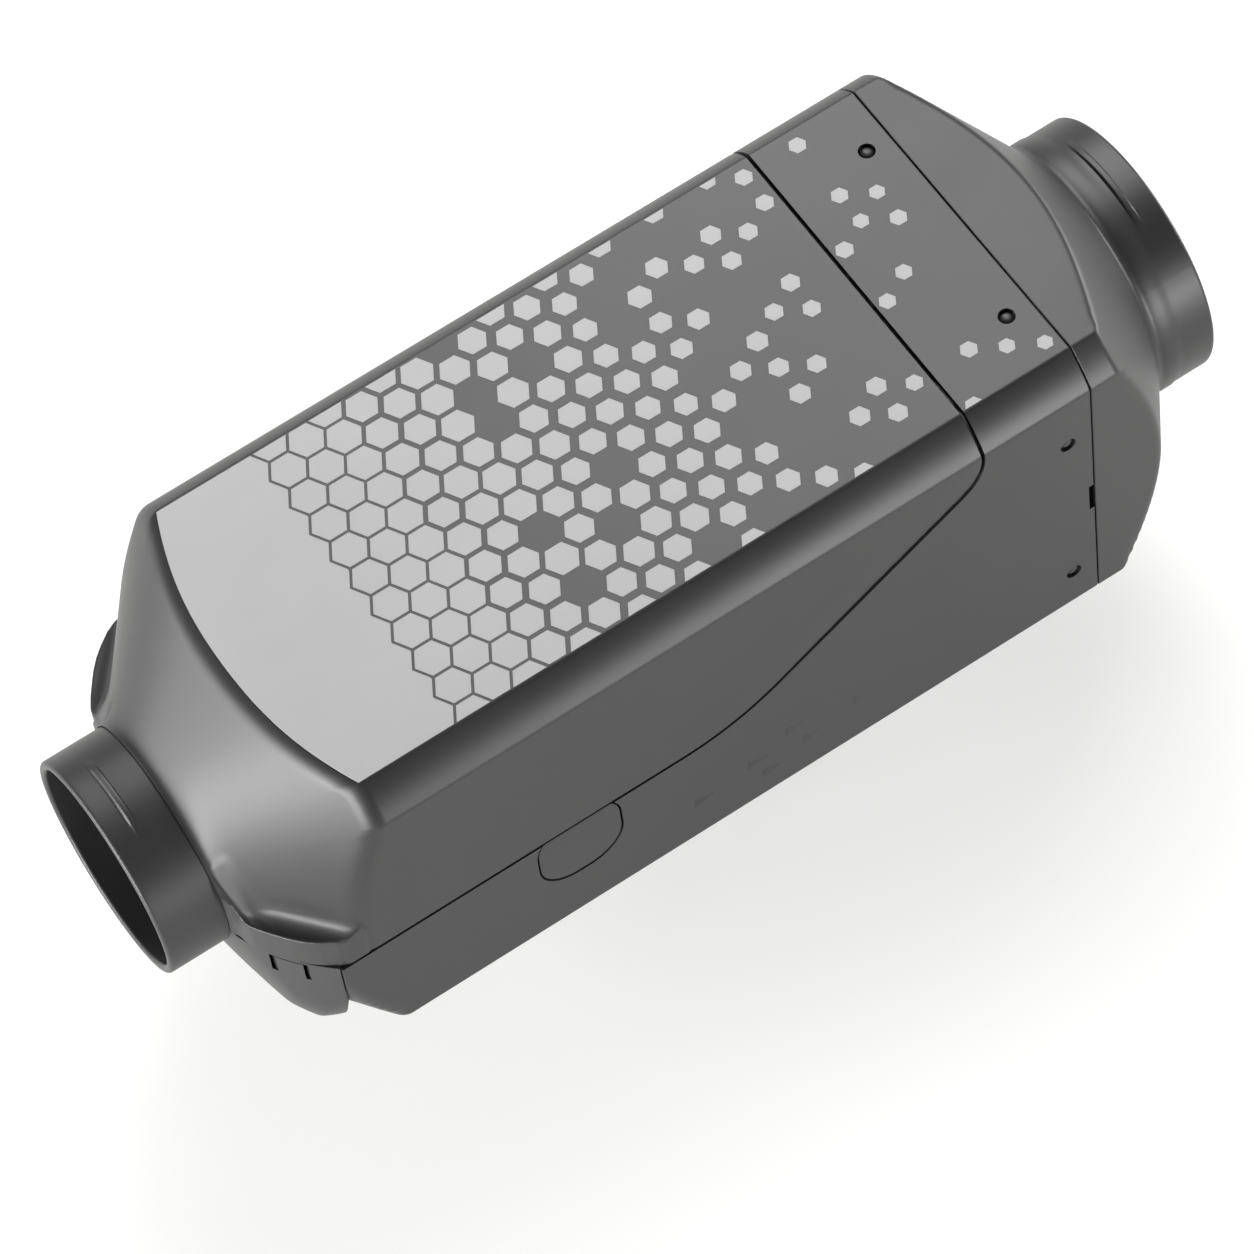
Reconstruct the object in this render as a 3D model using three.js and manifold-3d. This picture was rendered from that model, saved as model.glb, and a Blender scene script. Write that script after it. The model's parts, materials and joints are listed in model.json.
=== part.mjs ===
// Diesel air heater for a vehicle cabin: a moulded two-part casing round a blower, a burner and a
// finned heat exchanger. Millimetres, +Z up. The air runs along +X, from the inlet nozzle to the
// outlet nozzle. Pieces are drawn with x = 0 at the inlet rim and z = 0 on the duct axis; the
// exported group then puts the origin at the centre of the base gasket's underside.
import * as THREE from "three";
import { mergeVertices } from "three/addons/utils/BufferGeometryUtils.js";
import Module from "manifold-3d";

const wasm = await Module();
wasm.setup();

// ---- Driving dimensions: casing section ----
const CASE_WIDTH = 136;
const CASE_HEIGHT = 138.6;
const BEVEL_WIDTH = 10.3;
const BEVEL_HEIGHT = 11.3;
const BEVEL_CROWN = 0.8;
const WALL = 2.4;
const SEAM = 0.5;
const FIT_GAP = 0.3;
const RUNNING_GAP = 0.15;
const FOOT_STANDOFF = 10.7;

// ---- Driving dimensions: lengths along the air path ----
const INLET_NOZZLE_LENGTH = 21.2;
const INLET_FLARE_LENGTH = 40.8;
const SHELL_RUN = 218;
const RING_LENGTH = 39.5;
const HOOD_RIM_LENGTH = 7;
const HOOD_FLARE_LENGTH = 33;
const OUTLET_NOZZLE_LENGTH = 22.5;
const FLANGE_TO_RING = 75;

// ---- Nozzles ----
const INLET_NOZZLE_R = 37.5;
const OUTLET_NOZZLE_R = 45;
const NOZZLE_WALL = 3;
const RIM_ROUND = 1.2;
const RIDGE_OFFSET = 9;
const RIDGE_RISE = 1.1;
const RIDGE_WIDTH = 2.2;
const RIDGE_FROM_RIM = 9.5;

// ---- Flares ----
const FLARE_START_GAP = 0.7;
const FLARE_EASE = 0.3;
const FLARE_BLEND = 5;
const HOOD_EASE = 0.9;
const NECK_BLEND = 5;
const LOWER_MOUTH_RISE = 3.2;
const LOWER_FLARE_LENGTH = 16.2;

// ---- Skirt and bowl at the inlet end ----
const SKIRT_RISE = 7;
const BOWL_LENGTH = 20.3;
const BOWL_SHOULDER_X = 5.5;
const BOWL_SHOULDER_RISE = 16.2;
const BOWL_SETBACK = 0.9;
const SKIRT_MERGE = 6;
const BOWL_WALL = 2.2;
const SNAP_SLOT_WIDTH = 1.2;
const SNAP_SLOT_HEIGHT = 16;
const SNAP_SLOT_STATIONS = [6.3, 12.8];
const SNAP_SLOT_DROP = 1.5;

// ---- Parting line of the two shells ----
const PARTING_DROP = 7.5;
const DIAGONAL_RUN = 95;
const DIAGONAL_TOP = 46.6;
const PARTING_TOE_ROUND = 20;
const PARTING_HEAD_ROUND = 10;

// ---- Ring: peg holes and pry slots ----
const PEG_R = 2.2;
const PEG_CLEARANCE = 0.4;
const PEG_SUNK = 0.9;
const PEG_FROM_HOOD = 9;
const TOP_PEG_Y = 37.3;
const SIDE_PEG_HIGH = 35;
const SIDE_PEG_LOW = -41;
const COLLAR_LENGTH = 16;
const COLLAR_WALL = 2;
const HOOD_BAND = 4;
const PRY_SLOT_HEIGHT = 10.8;
const PRY_SLOT_WIDTH = 2;
const PRY_SLOT_MIDDLE = -5.1;

// ---- Cable exits and side marks in the lower shell ----
const CAP_FROM_FRONT = 65;
const CAP_WIDTH = 29.3;
const CAP_HEIGHT = 26.4;
const CAP_ROUND = 12.6;
const CAP_EDGE_SUNK = 0.9;
const CAP_CROWN_SUNK = 0.1;
const CAP_THICKNESS = 2.2;
const CAP_GAP = 0.4;
const CAP_DOME_SHARES = [1, 0.85, 0.6, 0.3];
const MARK_LENGTH = 9.5;
const MARK_HEIGHT = 2.6;
const MARK_DEPTH = 0.8;
const MARK_PITCH = 17;
const MARK_ROW_PITCH = 9;
const MARK_COLUMNS = 3;
const MARK_ROWS = 2;
const MARK_FROM_RING = 106;
const MARK_DROP = 47;

// ---- Blower: funnel and fan ----
const FUNNEL_FROM_CREASE = 7;
const FUNNEL_LENGTH = 12;
const SHROUD_R = 43.5;
const SHROUD_WALL = 2.6;
const SHROUD_OVERHANG = 4;
const FAN_TO_FUNNEL = 2;
const FAN_TIP_GAP = 1;
const FAN_LENGTH = 20;
const FAN_BLADES = 9;
const FAN_HUB_R = 17;
const FAN_NOSE_R = 14;
const FAN_HUB_WALL = 3;
const FAN_HUB_WEB = 5;
const FAN_BOSS_WALL = 4;
const BLADE_RINGS = 2;
const BLADE_ROOT_PITCH = 52;
const BLADE_TIP_PITCH = 28;
const BLADE_ROOT_CHORD = 17;
const BLADE_TIP_CHORD = 24;
const BLADE_ROOT_THICKNESS = 2.2;
const BLADE_TIP_THICKNESS = 1.2;
const BLADE_CAMBER = 1.6;
const BLADE_SWEEP = 0.35;
const BLADE_THICK_SHARE = 0.2;
const CLIP_DOME = 11;

// ---- Blower: motor and its housing ----
const SHAFT_R = 3;
const SHAFT_NOSE = 3;
const MOTOR_R = 27;
const MOTOR_LENGTH = 40;
const MOTOR_CAN_WALL = 2;
const BEARING_R = 8;
const BEARING_WIDTH = 5;
const RACE_WIDTH = 1.2;
const SHIELD_SUNK = 0.5;
const ROTOR_GAP = 1;
const ROTOR_TEETH = 9;
const ROTOR_TOOTH_SHARE = 0.75;
const ROTOR_SLOT_DEPTH = 8;
const HOUSING_WALL = 3.5;
const HOUSING_FRONT_WALL = 4;
const STRUT_COUNT = 4;
const STRUT_WIDTH = 4;
const STRUT_LENGTH = 7;
const BLOWER_FLANGE_R = 52;
const BLOWER_FLANGE_THICKNESS = 5;

// ---- Blower: combustion side and its screws ----
const COVER_LENGTH = 24;
const COVER_WALL = 4;
const COVER_OUTLET_R = 8;
const IMPELLER_R = 43;
const IMPELLER_EYE_R = 15;
const IMPELLER_HUB_R = 7;
const IMPELLER_BLADES = 10;
const IMPELLER_BLADE_DEPTH = 9;
const IMPELLER_BLADE_THICKNESS = 1.6;
const IMPELLER_DISC = 2.4;
const IMPELLER_FRONT_GAP = 2;
const MAGNET_R = 7;
const MAGNET_WIDTH = 3;
const LUG_PITCH_R = 58;
const LUG_R = 7;
const SCREW_R = 2.4;
const SCREW_HEAD_R = 4.2;
const SCREW_HEAD_HEIGHT = 4;
const SCREW_GRIP = 10;

// ---- Burner and heat exchanger ----
const GASKET_THICKNESS = 1.2;
const BURNER_FLANGE_THICKNESS = 3;
const FLAME_TUBE_R = 27;
const FLAME_TUBE_WALL = 2;
const FLAME_TUBE_LENGTH = 95;
const FLAME_HOLE_R = 3;
const FLAME_HOLES_FROM_END = 30;
const EXCHANGER_BORE_R = 30;
const EXCHANGER_CORE_R = 36;
const EXCHANGER_FLANGE_THICKNESS = 12;
const EXCHANGER_TO_HOOD = 12;
const EXCHANGER_DOME = 14;
const DOME_SHOULDER = 0.7;
const FIN_COUNT = 32;
const FIN_THICKNESS = 2;
const FIN_TIP_CLEARANCE = 1.6;
const FIN_SETBACK = 6;
const PLUG_FROM_FLANGE = 27;
const PLUG_THREAD_R = 6;
const PLUG_TIP_R = 2.5;
const PLUG_TIP_REACH = 8;
const PLUG_HEX_R = 8;
const PLUG_HEX_HEIGHT = 6;
const PLUG_POST_R = 2;
const PLUG_POST_HEIGHT = 7;
const SCREEN_WALL = 1.6;
const BOSS_R = 10;
const BOSS_HEIGHT = 8;
const BOSS_ROOM = 4;
const SENSOR_LENGTH = 18;
const SENSOR_WIDTH = 11;
const SENSOR_HEIGHT = 7;
const SENSOR_FROM_REAR = 62;
const SENSOR_SEAT_RISE = 3;
const CLIP_THICKNESS = 1;
const CLIP_WIDTH = 8;

// ---- Control unit ----
const ECU_WIDTH = 70;
const ECU_HEIGHT = 17;
const ECU_WALL = 2;
const ECU_LID = 2.5;
const ECU_RIB = 1;
const ECU_PAD_RISE = 3;
const ECU_PAD_WIDTH = 44;
const ECU_PAD_LENGTH = 15;
const ECU_SCREW_Y = 17;
const CONNECTOR_LENGTH = 22;
const CONNECTOR_DEPTH = 6;
const CONNECTOR_HEIGHT = 12;

// ---- Foot, studs and pipes ----
const FOOT_LENGTH = 130;
const FOOT_WIDTH = 92;
const FOOT_CORNER = 12;
const FOOT_OPENING_GAP = 1;
const PEDESTAL_LENGTH = 90;
const PEDESTAL_WIDTH = 50;
const BASE_GASKET_THICKNESS = 1.5;
const STUD_R = 3;
const STUD_SPACING_X = 104;
const STUD_SPACING_Y = 70;
const STUD_STANDOUT = 22;
const STUD_SEAT = 10;
const STUD_TIP = 1.5;
const STUB_SPACING = 56;
const STUB_R = 12;
const STUB_WALL = 1.2;
const STUB_STANDOUT = 28;
const STUB_SEAT = 12;
const BEAD_FROM_END = 3;
const BEAD_WIDTH = 2;
const BEAD_RISE = 0.9;
const FUEL_PIPE_R = 2.5;
const FUEL_PIPE_WALL = 1.2;
const FUEL_PIPE_Y = 14;
const FUEL_PIPE_STANDOUT = 24;
const FUEL_PIPE_SPACING = 38;

// ---- Faces in each round form ----
const ROUND_SIDES = 28;
const INNER_SIDES = 20;
const SHAFT_SIDES = 16;
const SMALL_SIDES = 8;
const HEX_SIDES = 6;
const BEVEL_STEPS = 2;
const FACE_STEPS = 3;
const INNER_FACE_STEPS = 2;
const FLARE_STEPS = 5;
const CURVE_STEPS = 2;
const LOWER_FLARE_STEPS = 2;
const OVERSHOOT = 1;
const FAR = 400;
const MERGE_TOLERANCE = 1e-4;

// ---- Stations along x, from the inlet rim ----
const CREASE = INLET_NOZZLE_LENGTH;
const FRONT = CREASE + INLET_FLARE_LENGTH;
const RING_LINE = FRONT + SHELL_RUN;
const HOOD_LINE = RING_LINE + RING_LENGTH;
const HOOD_SHOULDER = HOOD_LINE + HOOD_RIM_LENGTH;
const NECK = HOOD_SHOULDER + HOOD_FLARE_LENGTH;
const OUTLET_RIM = NECK + OUTLET_NOZZLE_LENGTH;
const FLANGE_STATION = RING_LINE - FLANGE_TO_RING;
const BOWL_END = CREASE + BOWL_LENGTH;
const LOWER_FRONT = BOWL_END + SEAM;
const FUNNEL_START = CREASE + FUNNEL_FROM_CREASE;
const FUNNEL_END = FUNNEL_START + FUNNEL_LENGTH;
const FAN_FRONT = FUNNEL_END + FAN_TO_FUNNEL;
const FAN_BACK = FAN_FRONT + FAN_LENGTH;
const SHROUD_END = FAN_BACK + SHROUD_OVERHANG;
const BLOWER_FRONT = SHROUD_END + FIT_GAP;
const MOTOR_FRONT = BLOWER_FRONT + HOUSING_FRONT_WALL + FIT_GAP;
const MOTOR_BACK = MOTOR_FRONT + MOTOR_LENGTH;
const BLOWER_BACK = MOTOR_BACK + FIT_GAP;
const COVER_FRONT = BLOWER_BACK + FIT_GAP;
const COVER_BACK = COVER_FRONT + COVER_LENGTH;
const SHAFT_END = COVER_BACK - COVER_WALL - IMPELLER_FRONT_GAP;
const BLOWER_GASKET_FRONT = COVER_BACK + FIT_GAP;
const BURNER_FRONT = BLOWER_GASKET_FRONT + GASKET_THICKNESS + FIT_GAP;
const BURNER_GASKET_FRONT = BURNER_FRONT + BURNER_FLANGE_THICKNESS + FIT_GAP;
const EXCHANGER_FRONT = BURNER_GASKET_FRONT + GASKET_THICKNESS + FIT_GAP;
const EXCHANGER_REAR = HOOD_LINE - EXCHANGER_TO_HOOD;
const CAP_MIDDLE = FRONT + CAP_FROM_FRONT;
const PLUG_X = EXCHANGER_FRONT + PLUG_FROM_FLANGE;
const SENSOR_STATION = EXCHANGER_REAR - SENSOR_FROM_REAR;
const BLOWER_SCREW_FRONT = BLOWER_BACK - BLOWER_FLANGE_THICKNESS - FIT_GAP - SCREW_HEAD_HEIGHT;
const ECU_FRONT = BLOWER_FRONT + STRUT_LENGTH + FIT_GAP;
const ECU_BACK = BLOWER_SCREW_FRONT - FIT_GAP;
const ECU_STATION = (ECU_FRONT + ECU_BACK) / 2;
const FUEL_PIPE_STATION = FLANGE_STATION - FUEL_PIPE_SPACING;
const STUB_STATIONS = {
  exhaust: FLANGE_STATION + STUB_SPACING / 2,
  air: FLANGE_STATION - STUB_SPACING / 2,
};

// ---- Heights and radii that several pieces share ----
const HALF_WIDTH = CASE_WIDTH / 2;
const HALF_HEIGHT = CASE_HEIGHT / 2;
const AXIS_HEIGHT = HALF_HEIGHT + FOOT_STANDOFF;
const CORNER_R = Math.hypot(HALF_WIDTH, HALF_HEIGHT - BEVEL_HEIGHT);
const FLARE_START_R = INLET_NOZZLE_R + FLARE_START_GAP;
const BOWL_SHOULDER_R = INLET_NOZZLE_R + BOWL_SHOULDER_RISE;
const BOWL_END_R = HALF_WIDTH - BOWL_SETBACK;
const LOWER_MOUTH_R = HALF_WIDTH + LOWER_MOUTH_RISE;
const FAN_R = SHROUD_R - FAN_TIP_GAP;
const HOUSING_R = MOTOR_R + FIT_GAP + HOUSING_WALL;
const CAP_Z = -PARTING_DROP - CAP_HEIGHT / 2;
const GASKET_TOP = -AXIS_HEIGHT + BASE_GASKET_THICKNESS;
const FOOT_BOTTOM = GASKET_TOP + FIT_GAP;
const FOOT_TOP = WALL + FIN_TIP_CLEARANCE - HALF_HEIGHT;
const ECU_BOTTOM = HOUSING_R + ECU_PAD_RISE + FIT_GAP;
const ECU_TOP = ECU_BOTTOM + ECU_HEIGHT;
const PLUG_SEAT_Z = EXCHANGER_CORE_R + BOSS_HEIGHT;
const PLUG_TIP_Z = FLAME_TUBE_R - PLUG_TIP_REACH;
const SENSOR_SEAT_Z = EXCHANGER_CORE_R + SENSOR_SEAT_RISE;
const SENSOR_BOTTOM = SENSOR_SEAT_Z + FIT_GAP;
const LUG_ANGLES = [45, 135, 225, 315].map(THREE.MathUtils.degToRad);

/** The places of the four studs under the foot. */
const studPlaces = () =>
  [-1, 1].flatMap((along) =>
    [-1, 1].map((across) => [FLANGE_STATION + (along * STUD_SPACING_X) / 2, (across * STUD_SPACING_Y) / 2]),
  );

// ---- Materials ----
const matte = (color, roughness) => new THREE.MeshStandardMaterial({ color, roughness, metalness: 0 });
const metal = (color, roughness) => new THREE.MeshStandardMaterial({ color, roughness, metalness: 1 });
const CASING = matte("#4f5050", 0.62);
const HOOD_PLASTIC = matte("#585959", 0.58);
const BLACK_PLASTIC = matte("#26282a", 0.5);
const CAST_ALUMINIUM = metal("#a8abad", 0.48);
const STEEL = metal("#b9bcc0", 0.32);
const DARK_STEEL = metal("#5d5a57", 0.5);
const GASKET_GREY = matte("#6b6d6b", 0.85);
const BRASS = metal("#b59a55", 0.38);
const MAGNET = metal("#3a3b3e", 0.4);

// ---- Solids from closed geometry, and back ----

/** The signed volume of an indexed mesh, negative when its faces point inward. */
function signedVolume(positions, index) {
  const a = new THREE.Vector3();
  const b = new THREE.Vector3();
  const c = new THREE.Vector3();
  let sum = 0;
  for (let i = 0; i < index.length; i += 3) {
    a.fromArray(positions, index[i] * 3);
    b.fromArray(positions, index[i + 1] * 3);
    c.fromArray(positions, index[i + 2] * 3);
    sum += a.dot(b.cross(c));
  }
  return sum / 6;
}

/** A closed geometry as a solid for joins and cuts. */
function solid(geometry) {
  const bare = geometry.clone();
  bare.deleteAttribute("normal");
  bare.deleteAttribute("uv");
  const merged = mergeVertices(bare, MERGE_TOLERANCE);
  const vertProperties = Float32Array.from(merged.attributes.position.array);
  const triVerts = Uint32Array.from(merged.index.array);
  if (signedVolume(vertProperties, triVerts) < 0) {
    triVerts.reverse();
  }
  return new wasm.Manifold(new wasm.Mesh({ numProp: 3, vertProperties, triVerts }));
}

/** A solid back as a geometry. */
function geometryOf(body) {
  const mesh = body.getMesh();
  const geometry = new THREE.BufferGeometry();
  geometry.setAttribute("position", new THREE.BufferAttribute(Float32Array.from(mesh.vertProperties), 3));
  geometry.setIndex(new THREE.BufferAttribute(Uint32Array.from(mesh.triVerts), 1));
  geometry.computeVertexNormals();
  return geometry;
}

const unite = (bodies) => bodies.reduce((all, body) => all.add(body));
const cut = (body, tools) => tools.reduce((left, tool) => left.subtract(tool), body);

// ---- Basic forms ----

/** A closed skin through rings of equal point count, with a centre point closing each end. */
function skin(rings) {
  const count = rings[0].length;
  const points = rings.flat();
  const index = [];
  for (let ring = 0; ring < rings.length - 1; ring++) {
    for (let j = 0; j < count; j++) {
      const a = ring * count + j;
      const b = ring * count + ((j + 1) % count);
      index.push(a, b, b + count, a, b + count, a + count);
    }
  }
  for (const end of [0, rings.length - 1]) {
    const centre = points.length;
    points.push(rings[end].reduce((sum, p) => sum.add(p), new THREE.Vector3()).divideScalar(count));
    for (let j = 0; j < count; j++) {
      const a = end * count + j;
      const b = end * count + ((j + 1) % count);
      index.push(...(end === 0 ? [b, a, centre] : [a, b, centre]));
    }
  }
  const geometry = new THREE.BufferGeometry().setFromPoints(points);
  geometry.setIndex(index);
  return solid(geometry);
}

/** A body turned about the duct axis from a closed profile of [x, radius] points. */
function revolve(profile, sides = ROUND_SIDES) {
  const closed = [...profile, profile[0]];
  const lathe = new THREE.LatheGeometry(closed.map(([x, r]) => new THREE.Vector2(r, x)), sides);
  return solid(lathe.rotateZ(-Math.PI / 2));
}

/** A disc or rod along x between two stations, on the duct axis or beside it. */
function discX(from, to, radius, sides = ROUND_SIDES, [y, z] = [0, 0]) {
  const rod = new THREE.CylinderGeometry(radius, radius, to - from, sides);
  return solid(rod.rotateZ(-Math.PI / 2).translate((from + to) / 2, y, z));
}

/** A rod along z between two heights. */
function rodZ(x, y, from, to, radius, sides = SMALL_SIDES) {
  const rod = new THREE.CylinderGeometry(radius, radius, to - from, sides);
  return solid(rod.rotateX(Math.PI / 2).translate(x, y, (from + to) / 2));
}

/** A rod along y between two places. */
function rodY(x, z, from, to, radius, sides = SMALL_SIDES) {
  const rod = new THREE.CylinderGeometry(radius, radius, to - from, sides);
  return solid(rod.translate(x, (from + to) / 2, z));
}

/** A box from its lowest to its highest corner, then turned about the duct axis. */
function block(low, high, turn = 0) {
  const box = new THREE.BoxGeometry(high[0] - low[0], high[1] - low[1], high[2] - low[2]);
  box.translate((low[0] + high[0]) / 2, (low[1] + high[1]) / 2, (low[2] + high[2]) / 2);
  return solid(box.rotateX(turn));
}

/** A shape extruded by a depth, before it is turned and placed. */
const extruded = (shape, depth) =>
  new THREE.ExtrudeGeometry(shape, { depth, bevelEnabled: false, curveSegments: CURVE_STEPS });

/** A shape in the x-z plane, extruded along y. */
const extrudeY = (shape, from, to) =>
  solid(extruded(shape, to - from).rotateX(Math.PI / 2).translate(0, to, 0));

/** A shape in the x-y plane, extruded along z. */
const extrudeZ = (shape, from, to) => solid(extruded(shape, to - from).translate(0, 0, from));

/** A shape in the y-z plane, extruded along x. */
function extrudeX(shape, from, to) {
  const turn = new THREE.Matrix4().makeBasis(
    new THREE.Vector3(0, 1, 0),
    new THREE.Vector3(0, 0, 1),
    new THREE.Vector3(1, 0, 0),
  );
  return solid(extruded(shape, to - from).applyMatrix4(turn).translate(from, 0, 0));
}

/** Points evenly round a circle. */
const circle = (centreX, centreY, radius, sides) =>
  Array.from({ length: sides }, (_, i) => {
    const angle = (2 * Math.PI * i) / sides;
    return new THREE.Vector2(centreX + radius * Math.cos(angle), centreY + radius * Math.sin(angle));
  });

/** A rectangle with round corners about a centre, as a shape. */
function roundedRectangle(centreX, centreY, width, height, radius) {
  const shape = new THREE.Shape();
  const left = centreX - width / 2;
  const right = centreX + width / 2;
  const low = centreY - height / 2;
  const high = centreY + height / 2;
  const r = Math.min(radius, width / 2, height / 2);
  shape.moveTo(left + r, low);
  shape.lineTo(right - r, low);
  shape.absarc(right - r, low + r, r, -Math.PI / 2, 0, false);
  shape.lineTo(right, high - r);
  shape.absarc(right - r, high - r, r, 0, Math.PI / 2, false);
  shape.lineTo(left + r, high);
  shape.absarc(left + r, high - r, r, Math.PI / 2, Math.PI, false);
  shape.lineTo(left, low + r);
  shape.absarc(left + r, low + r, r, Math.PI, 1.5 * Math.PI, false);
  return shape;
}

// ---- The casing's section and flares ----

/** The bevelled section drawn in by an inset: half sizes, and the bevel's line and ends. */
function section(inset) {
  const length = Math.hypot(BEVEL_WIDTH, BEVEL_HEIGHT);
  const normal = { y: BEVEL_HEIGHT / length, z: BEVEL_WIDTH / length };
  const distance = normal.y * (HALF_WIDTH - BEVEL_WIDTH) + normal.z * HALF_HEIGHT - inset;
  const halfWidth = HALF_WIDTH - inset;
  const halfHeight = HALF_HEIGHT - inset;
  const topEdge = { y: (distance - normal.z * halfHeight) / normal.y, z: halfHeight };
  const sideEdge = { y: halfWidth, z: (distance - normal.y * halfWidth) / normal.z };
  return { normal, distance, halfWidth, halfHeight, topEdge, sideEdge };
}

/** How far the section's outline lies from the duct axis at an angle from +y. */
function sectionRadius(angle, inset = 0) {
  const s = section(inset);
  const across = Math.abs(Math.cos(angle));
  const up = Math.abs(Math.sin(angle));
  const flat = Math.min(s.halfWidth / Math.max(across, 1e-9), s.halfHeight / Math.max(up, 1e-9));
  const facing = s.normal.y * across + s.normal.z * up;
  const bevel = s.distance / facing;
  const middle = { y: (s.topEdge.y + s.sideEdge.y) / 2, z: (s.topEdge.z + s.sideEdge.z) / 2 };
  const half = Math.hypot(s.topEdge.y - s.sideEdge.y, s.topEdge.z - s.sideEdge.z) / 2;
  const along = Math.hypot(bevel * across - middle.y, bevel * up - middle.z) / half;
  return along < 1 ? bevel + (BEVEL_CROWN * (1 - along * along)) / facing : Math.min(flat, bevel);
}

/** Angles for one turn of a loft, with points on each edge of the section. */
function sectionAngles(inset = 0, faceSteps = FACE_STEPS) {
  const s = section(inset);
  const sideAngle = Math.atan2(s.sideEdge.z, s.sideEdge.y);
  const topAngle = Math.atan2(s.topEdge.z, s.topEdge.y);
  const marks = [
    [0, sideAngle, faceSteps],
    [sideAngle, topAngle, BEVEL_STEPS],
    [topAngle, Math.PI - topAngle, 2 * faceSteps],
    [Math.PI - topAngle, Math.PI - sideAngle, BEVEL_STEPS],
    [Math.PI - sideAngle, Math.PI, faceSteps],
  ];
  const half = marks.flatMap(([from, to, steps]) =>
    Array.from({ length: steps }, (_, i) => from + ((to - from) * i) / steps),
  );
  return [...half, ...half.map((angle) => angle + Math.PI)];
}

/** The lesser of two radii, rounded off where they meet. */
function blendLow(a, b, width) {
  const near = Math.max(width - Math.abs(a - b), 0) / width;
  return Math.min(a, b) - (near * near * width) / 4;
}

/** The greater of two radii, rounded off where they meet. */
const blendHigh = (a, b, width) => -blendLow(-a, -b, width);

/** The inlet flare's radius and slope at a station. */
function inletFlare(x) {
  const t = (x - CREASE) / INLET_FLARE_LENGTH;
  const rise = CORNER_R - FLARE_START_R;
  const radius = FLARE_START_R + rise * (FLARE_EASE * t + (1 - FLARE_EASE) * t * Math.abs(t));
  const slope = (rise * (FLARE_EASE + 2 * (1 - FLARE_EASE) * Math.abs(t))) / INLET_FLARE_LENGTH;
  return { radius, slope };
}

/** The outlet hood's flare radius and slope at a station, falling to the nozzle at the neck. */
function outletFlare(x) {
  const t = (NECK - x) / HOOD_FLARE_LENGTH;
  const rise = CORNER_R - OUTLET_NOZZLE_R;
  const radius = OUTLET_NOZZLE_R + rise * (HOOD_EASE * t + (1 - HOOD_EASE) * t * Math.abs(t));
  const slope = (rise * (HOOD_EASE + 2 * (1 - HOOD_EASE) * Math.abs(t))) / HOOD_FLARE_LENGTH;
  return { radius, slope };
}

/** A body whose radius about the duct axis is given by station and angle. */
function polarLoft(stations, angles, radiusAt) {
  const ring = (x) =>
    angles.map((angle) => {
      const r = radiusAt(x, angle);
      return new THREE.Vector3(x, r * Math.cos(angle), r * Math.sin(angle));
    });
  return skin(stations.map(ring));
}

/** Angles that share one turn evenly. */
const turns = (count) => Array.from({ length: count }, (_, i) => (2 * Math.PI * i) / count);

/** Even stations from one place to another. */
const steps = (from, to, count) => Array.from({ length: count + 1 }, (_, i) => from + ((to - from) * i) / count);

/** The part of space above or below the parting line of the shells, half a seam clear of it. */
function partingBody(above) {
  const shift = above ? SEAM / 2 : -SEAM / 2;
  const slope = (DIAGONAL_TOP + PARTING_DROP) / DIAGONAL_RUN;
  const hypotenuse = Math.hypot(1, slope);
  const low = shift - PARTING_DROP;
  const ringX = RING_LINE - shift;
  const footX = RING_LINE - DIAGONAL_RUN + (shift * (1 - hypotenuse)) / slope;
  const headZ = low + slope * (ringX - footX);
  const shape = new THREE.Shape();
  shape.moveTo(-FAR, low);
  shape.lineTo(footX - PARTING_TOE_ROUND, low);
  const toe = PARTING_TOE_ROUND / hypotenuse;
  shape.quadraticCurveTo(footX, low, footX + toe, low + toe * slope);
  const head = PARTING_HEAD_ROUND / hypotenuse;
  shape.lineTo(ringX - head, headZ - head * slope);
  shape.quadraticCurveTo(ringX, headZ, ringX, headZ + PARTING_HEAD_ROUND);
  shape.lineTo(ringX, FAR);
  if (above) {
    shape.lineTo(-FAR, FAR);
  } else {
    shape.lineTo(FAR + HOOD_LINE, FAR);
    shape.lineTo(FAR + HOOD_LINE, -FAR);
    shape.lineTo(-FAR, -FAR);
  }
  return extrudeY(shape, -CASE_WIDTH, CASE_WIDTH);
}

// ---- Bowl and skirt outline at the inlet end ----

/** The bowl's outline as [x, radius] points, drawn in by an inset. */
function bowlOutline(inset) {
  const curve = new THREE.QuadraticBezierCurve(
    new THREE.Vector2(CREASE, FLARE_START_R),
    new THREE.Vector2(CREASE + BOWL_SHOULDER_X, BOWL_SHOULDER_R),
    new THREE.Vector2(BOWL_END, BOWL_END_R),
  );
  return steps(0, 1, FLARE_STEPS).map((t) => {
    const point = curve.getPoint(t);
    const tangent = curve.getTangent(t);
    return [point.x + tangent.y * inset, point.y - tangent.x * inset];
  });
}

/** The bowl's outer radius at a station. */
function bowlRadius(x) {
  const points = bowlOutline(0);
  const next = Math.max(points.findIndex((point) => point[0] >= x), 1);
  const [x0, r0] = points[next - 1];
  const [x1, r1] = points[next];
  return r0 + ((r1 - r0) * (x - x0)) / (x1 - x0);
}

/** The skirt's plan outline as a body between two heights, drawn in by an inset. */
function skirtBody(inset, low, high) {
  const side = bowlOutline(inset);
  const back = FRONT + OVERSHOOT;
  const edge = HALF_WIDTH - inset;
  const shape = new THREE.Shape();
  shape.moveTo(back, -edge);
  shape.lineTo(BOWL_END + SKIRT_MERGE, -edge);
  side.toReversed().forEach(([x, r]) => shape.lineTo(x, -r));
  side.forEach(([x, r]) => shape.lineTo(x, r));
  shape.lineTo(BOWL_END + SKIRT_MERGE, edge);
  shape.lineTo(back, edge);
  return extrudeZ(shape, low, high);
}

// ---- Casing ----

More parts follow.
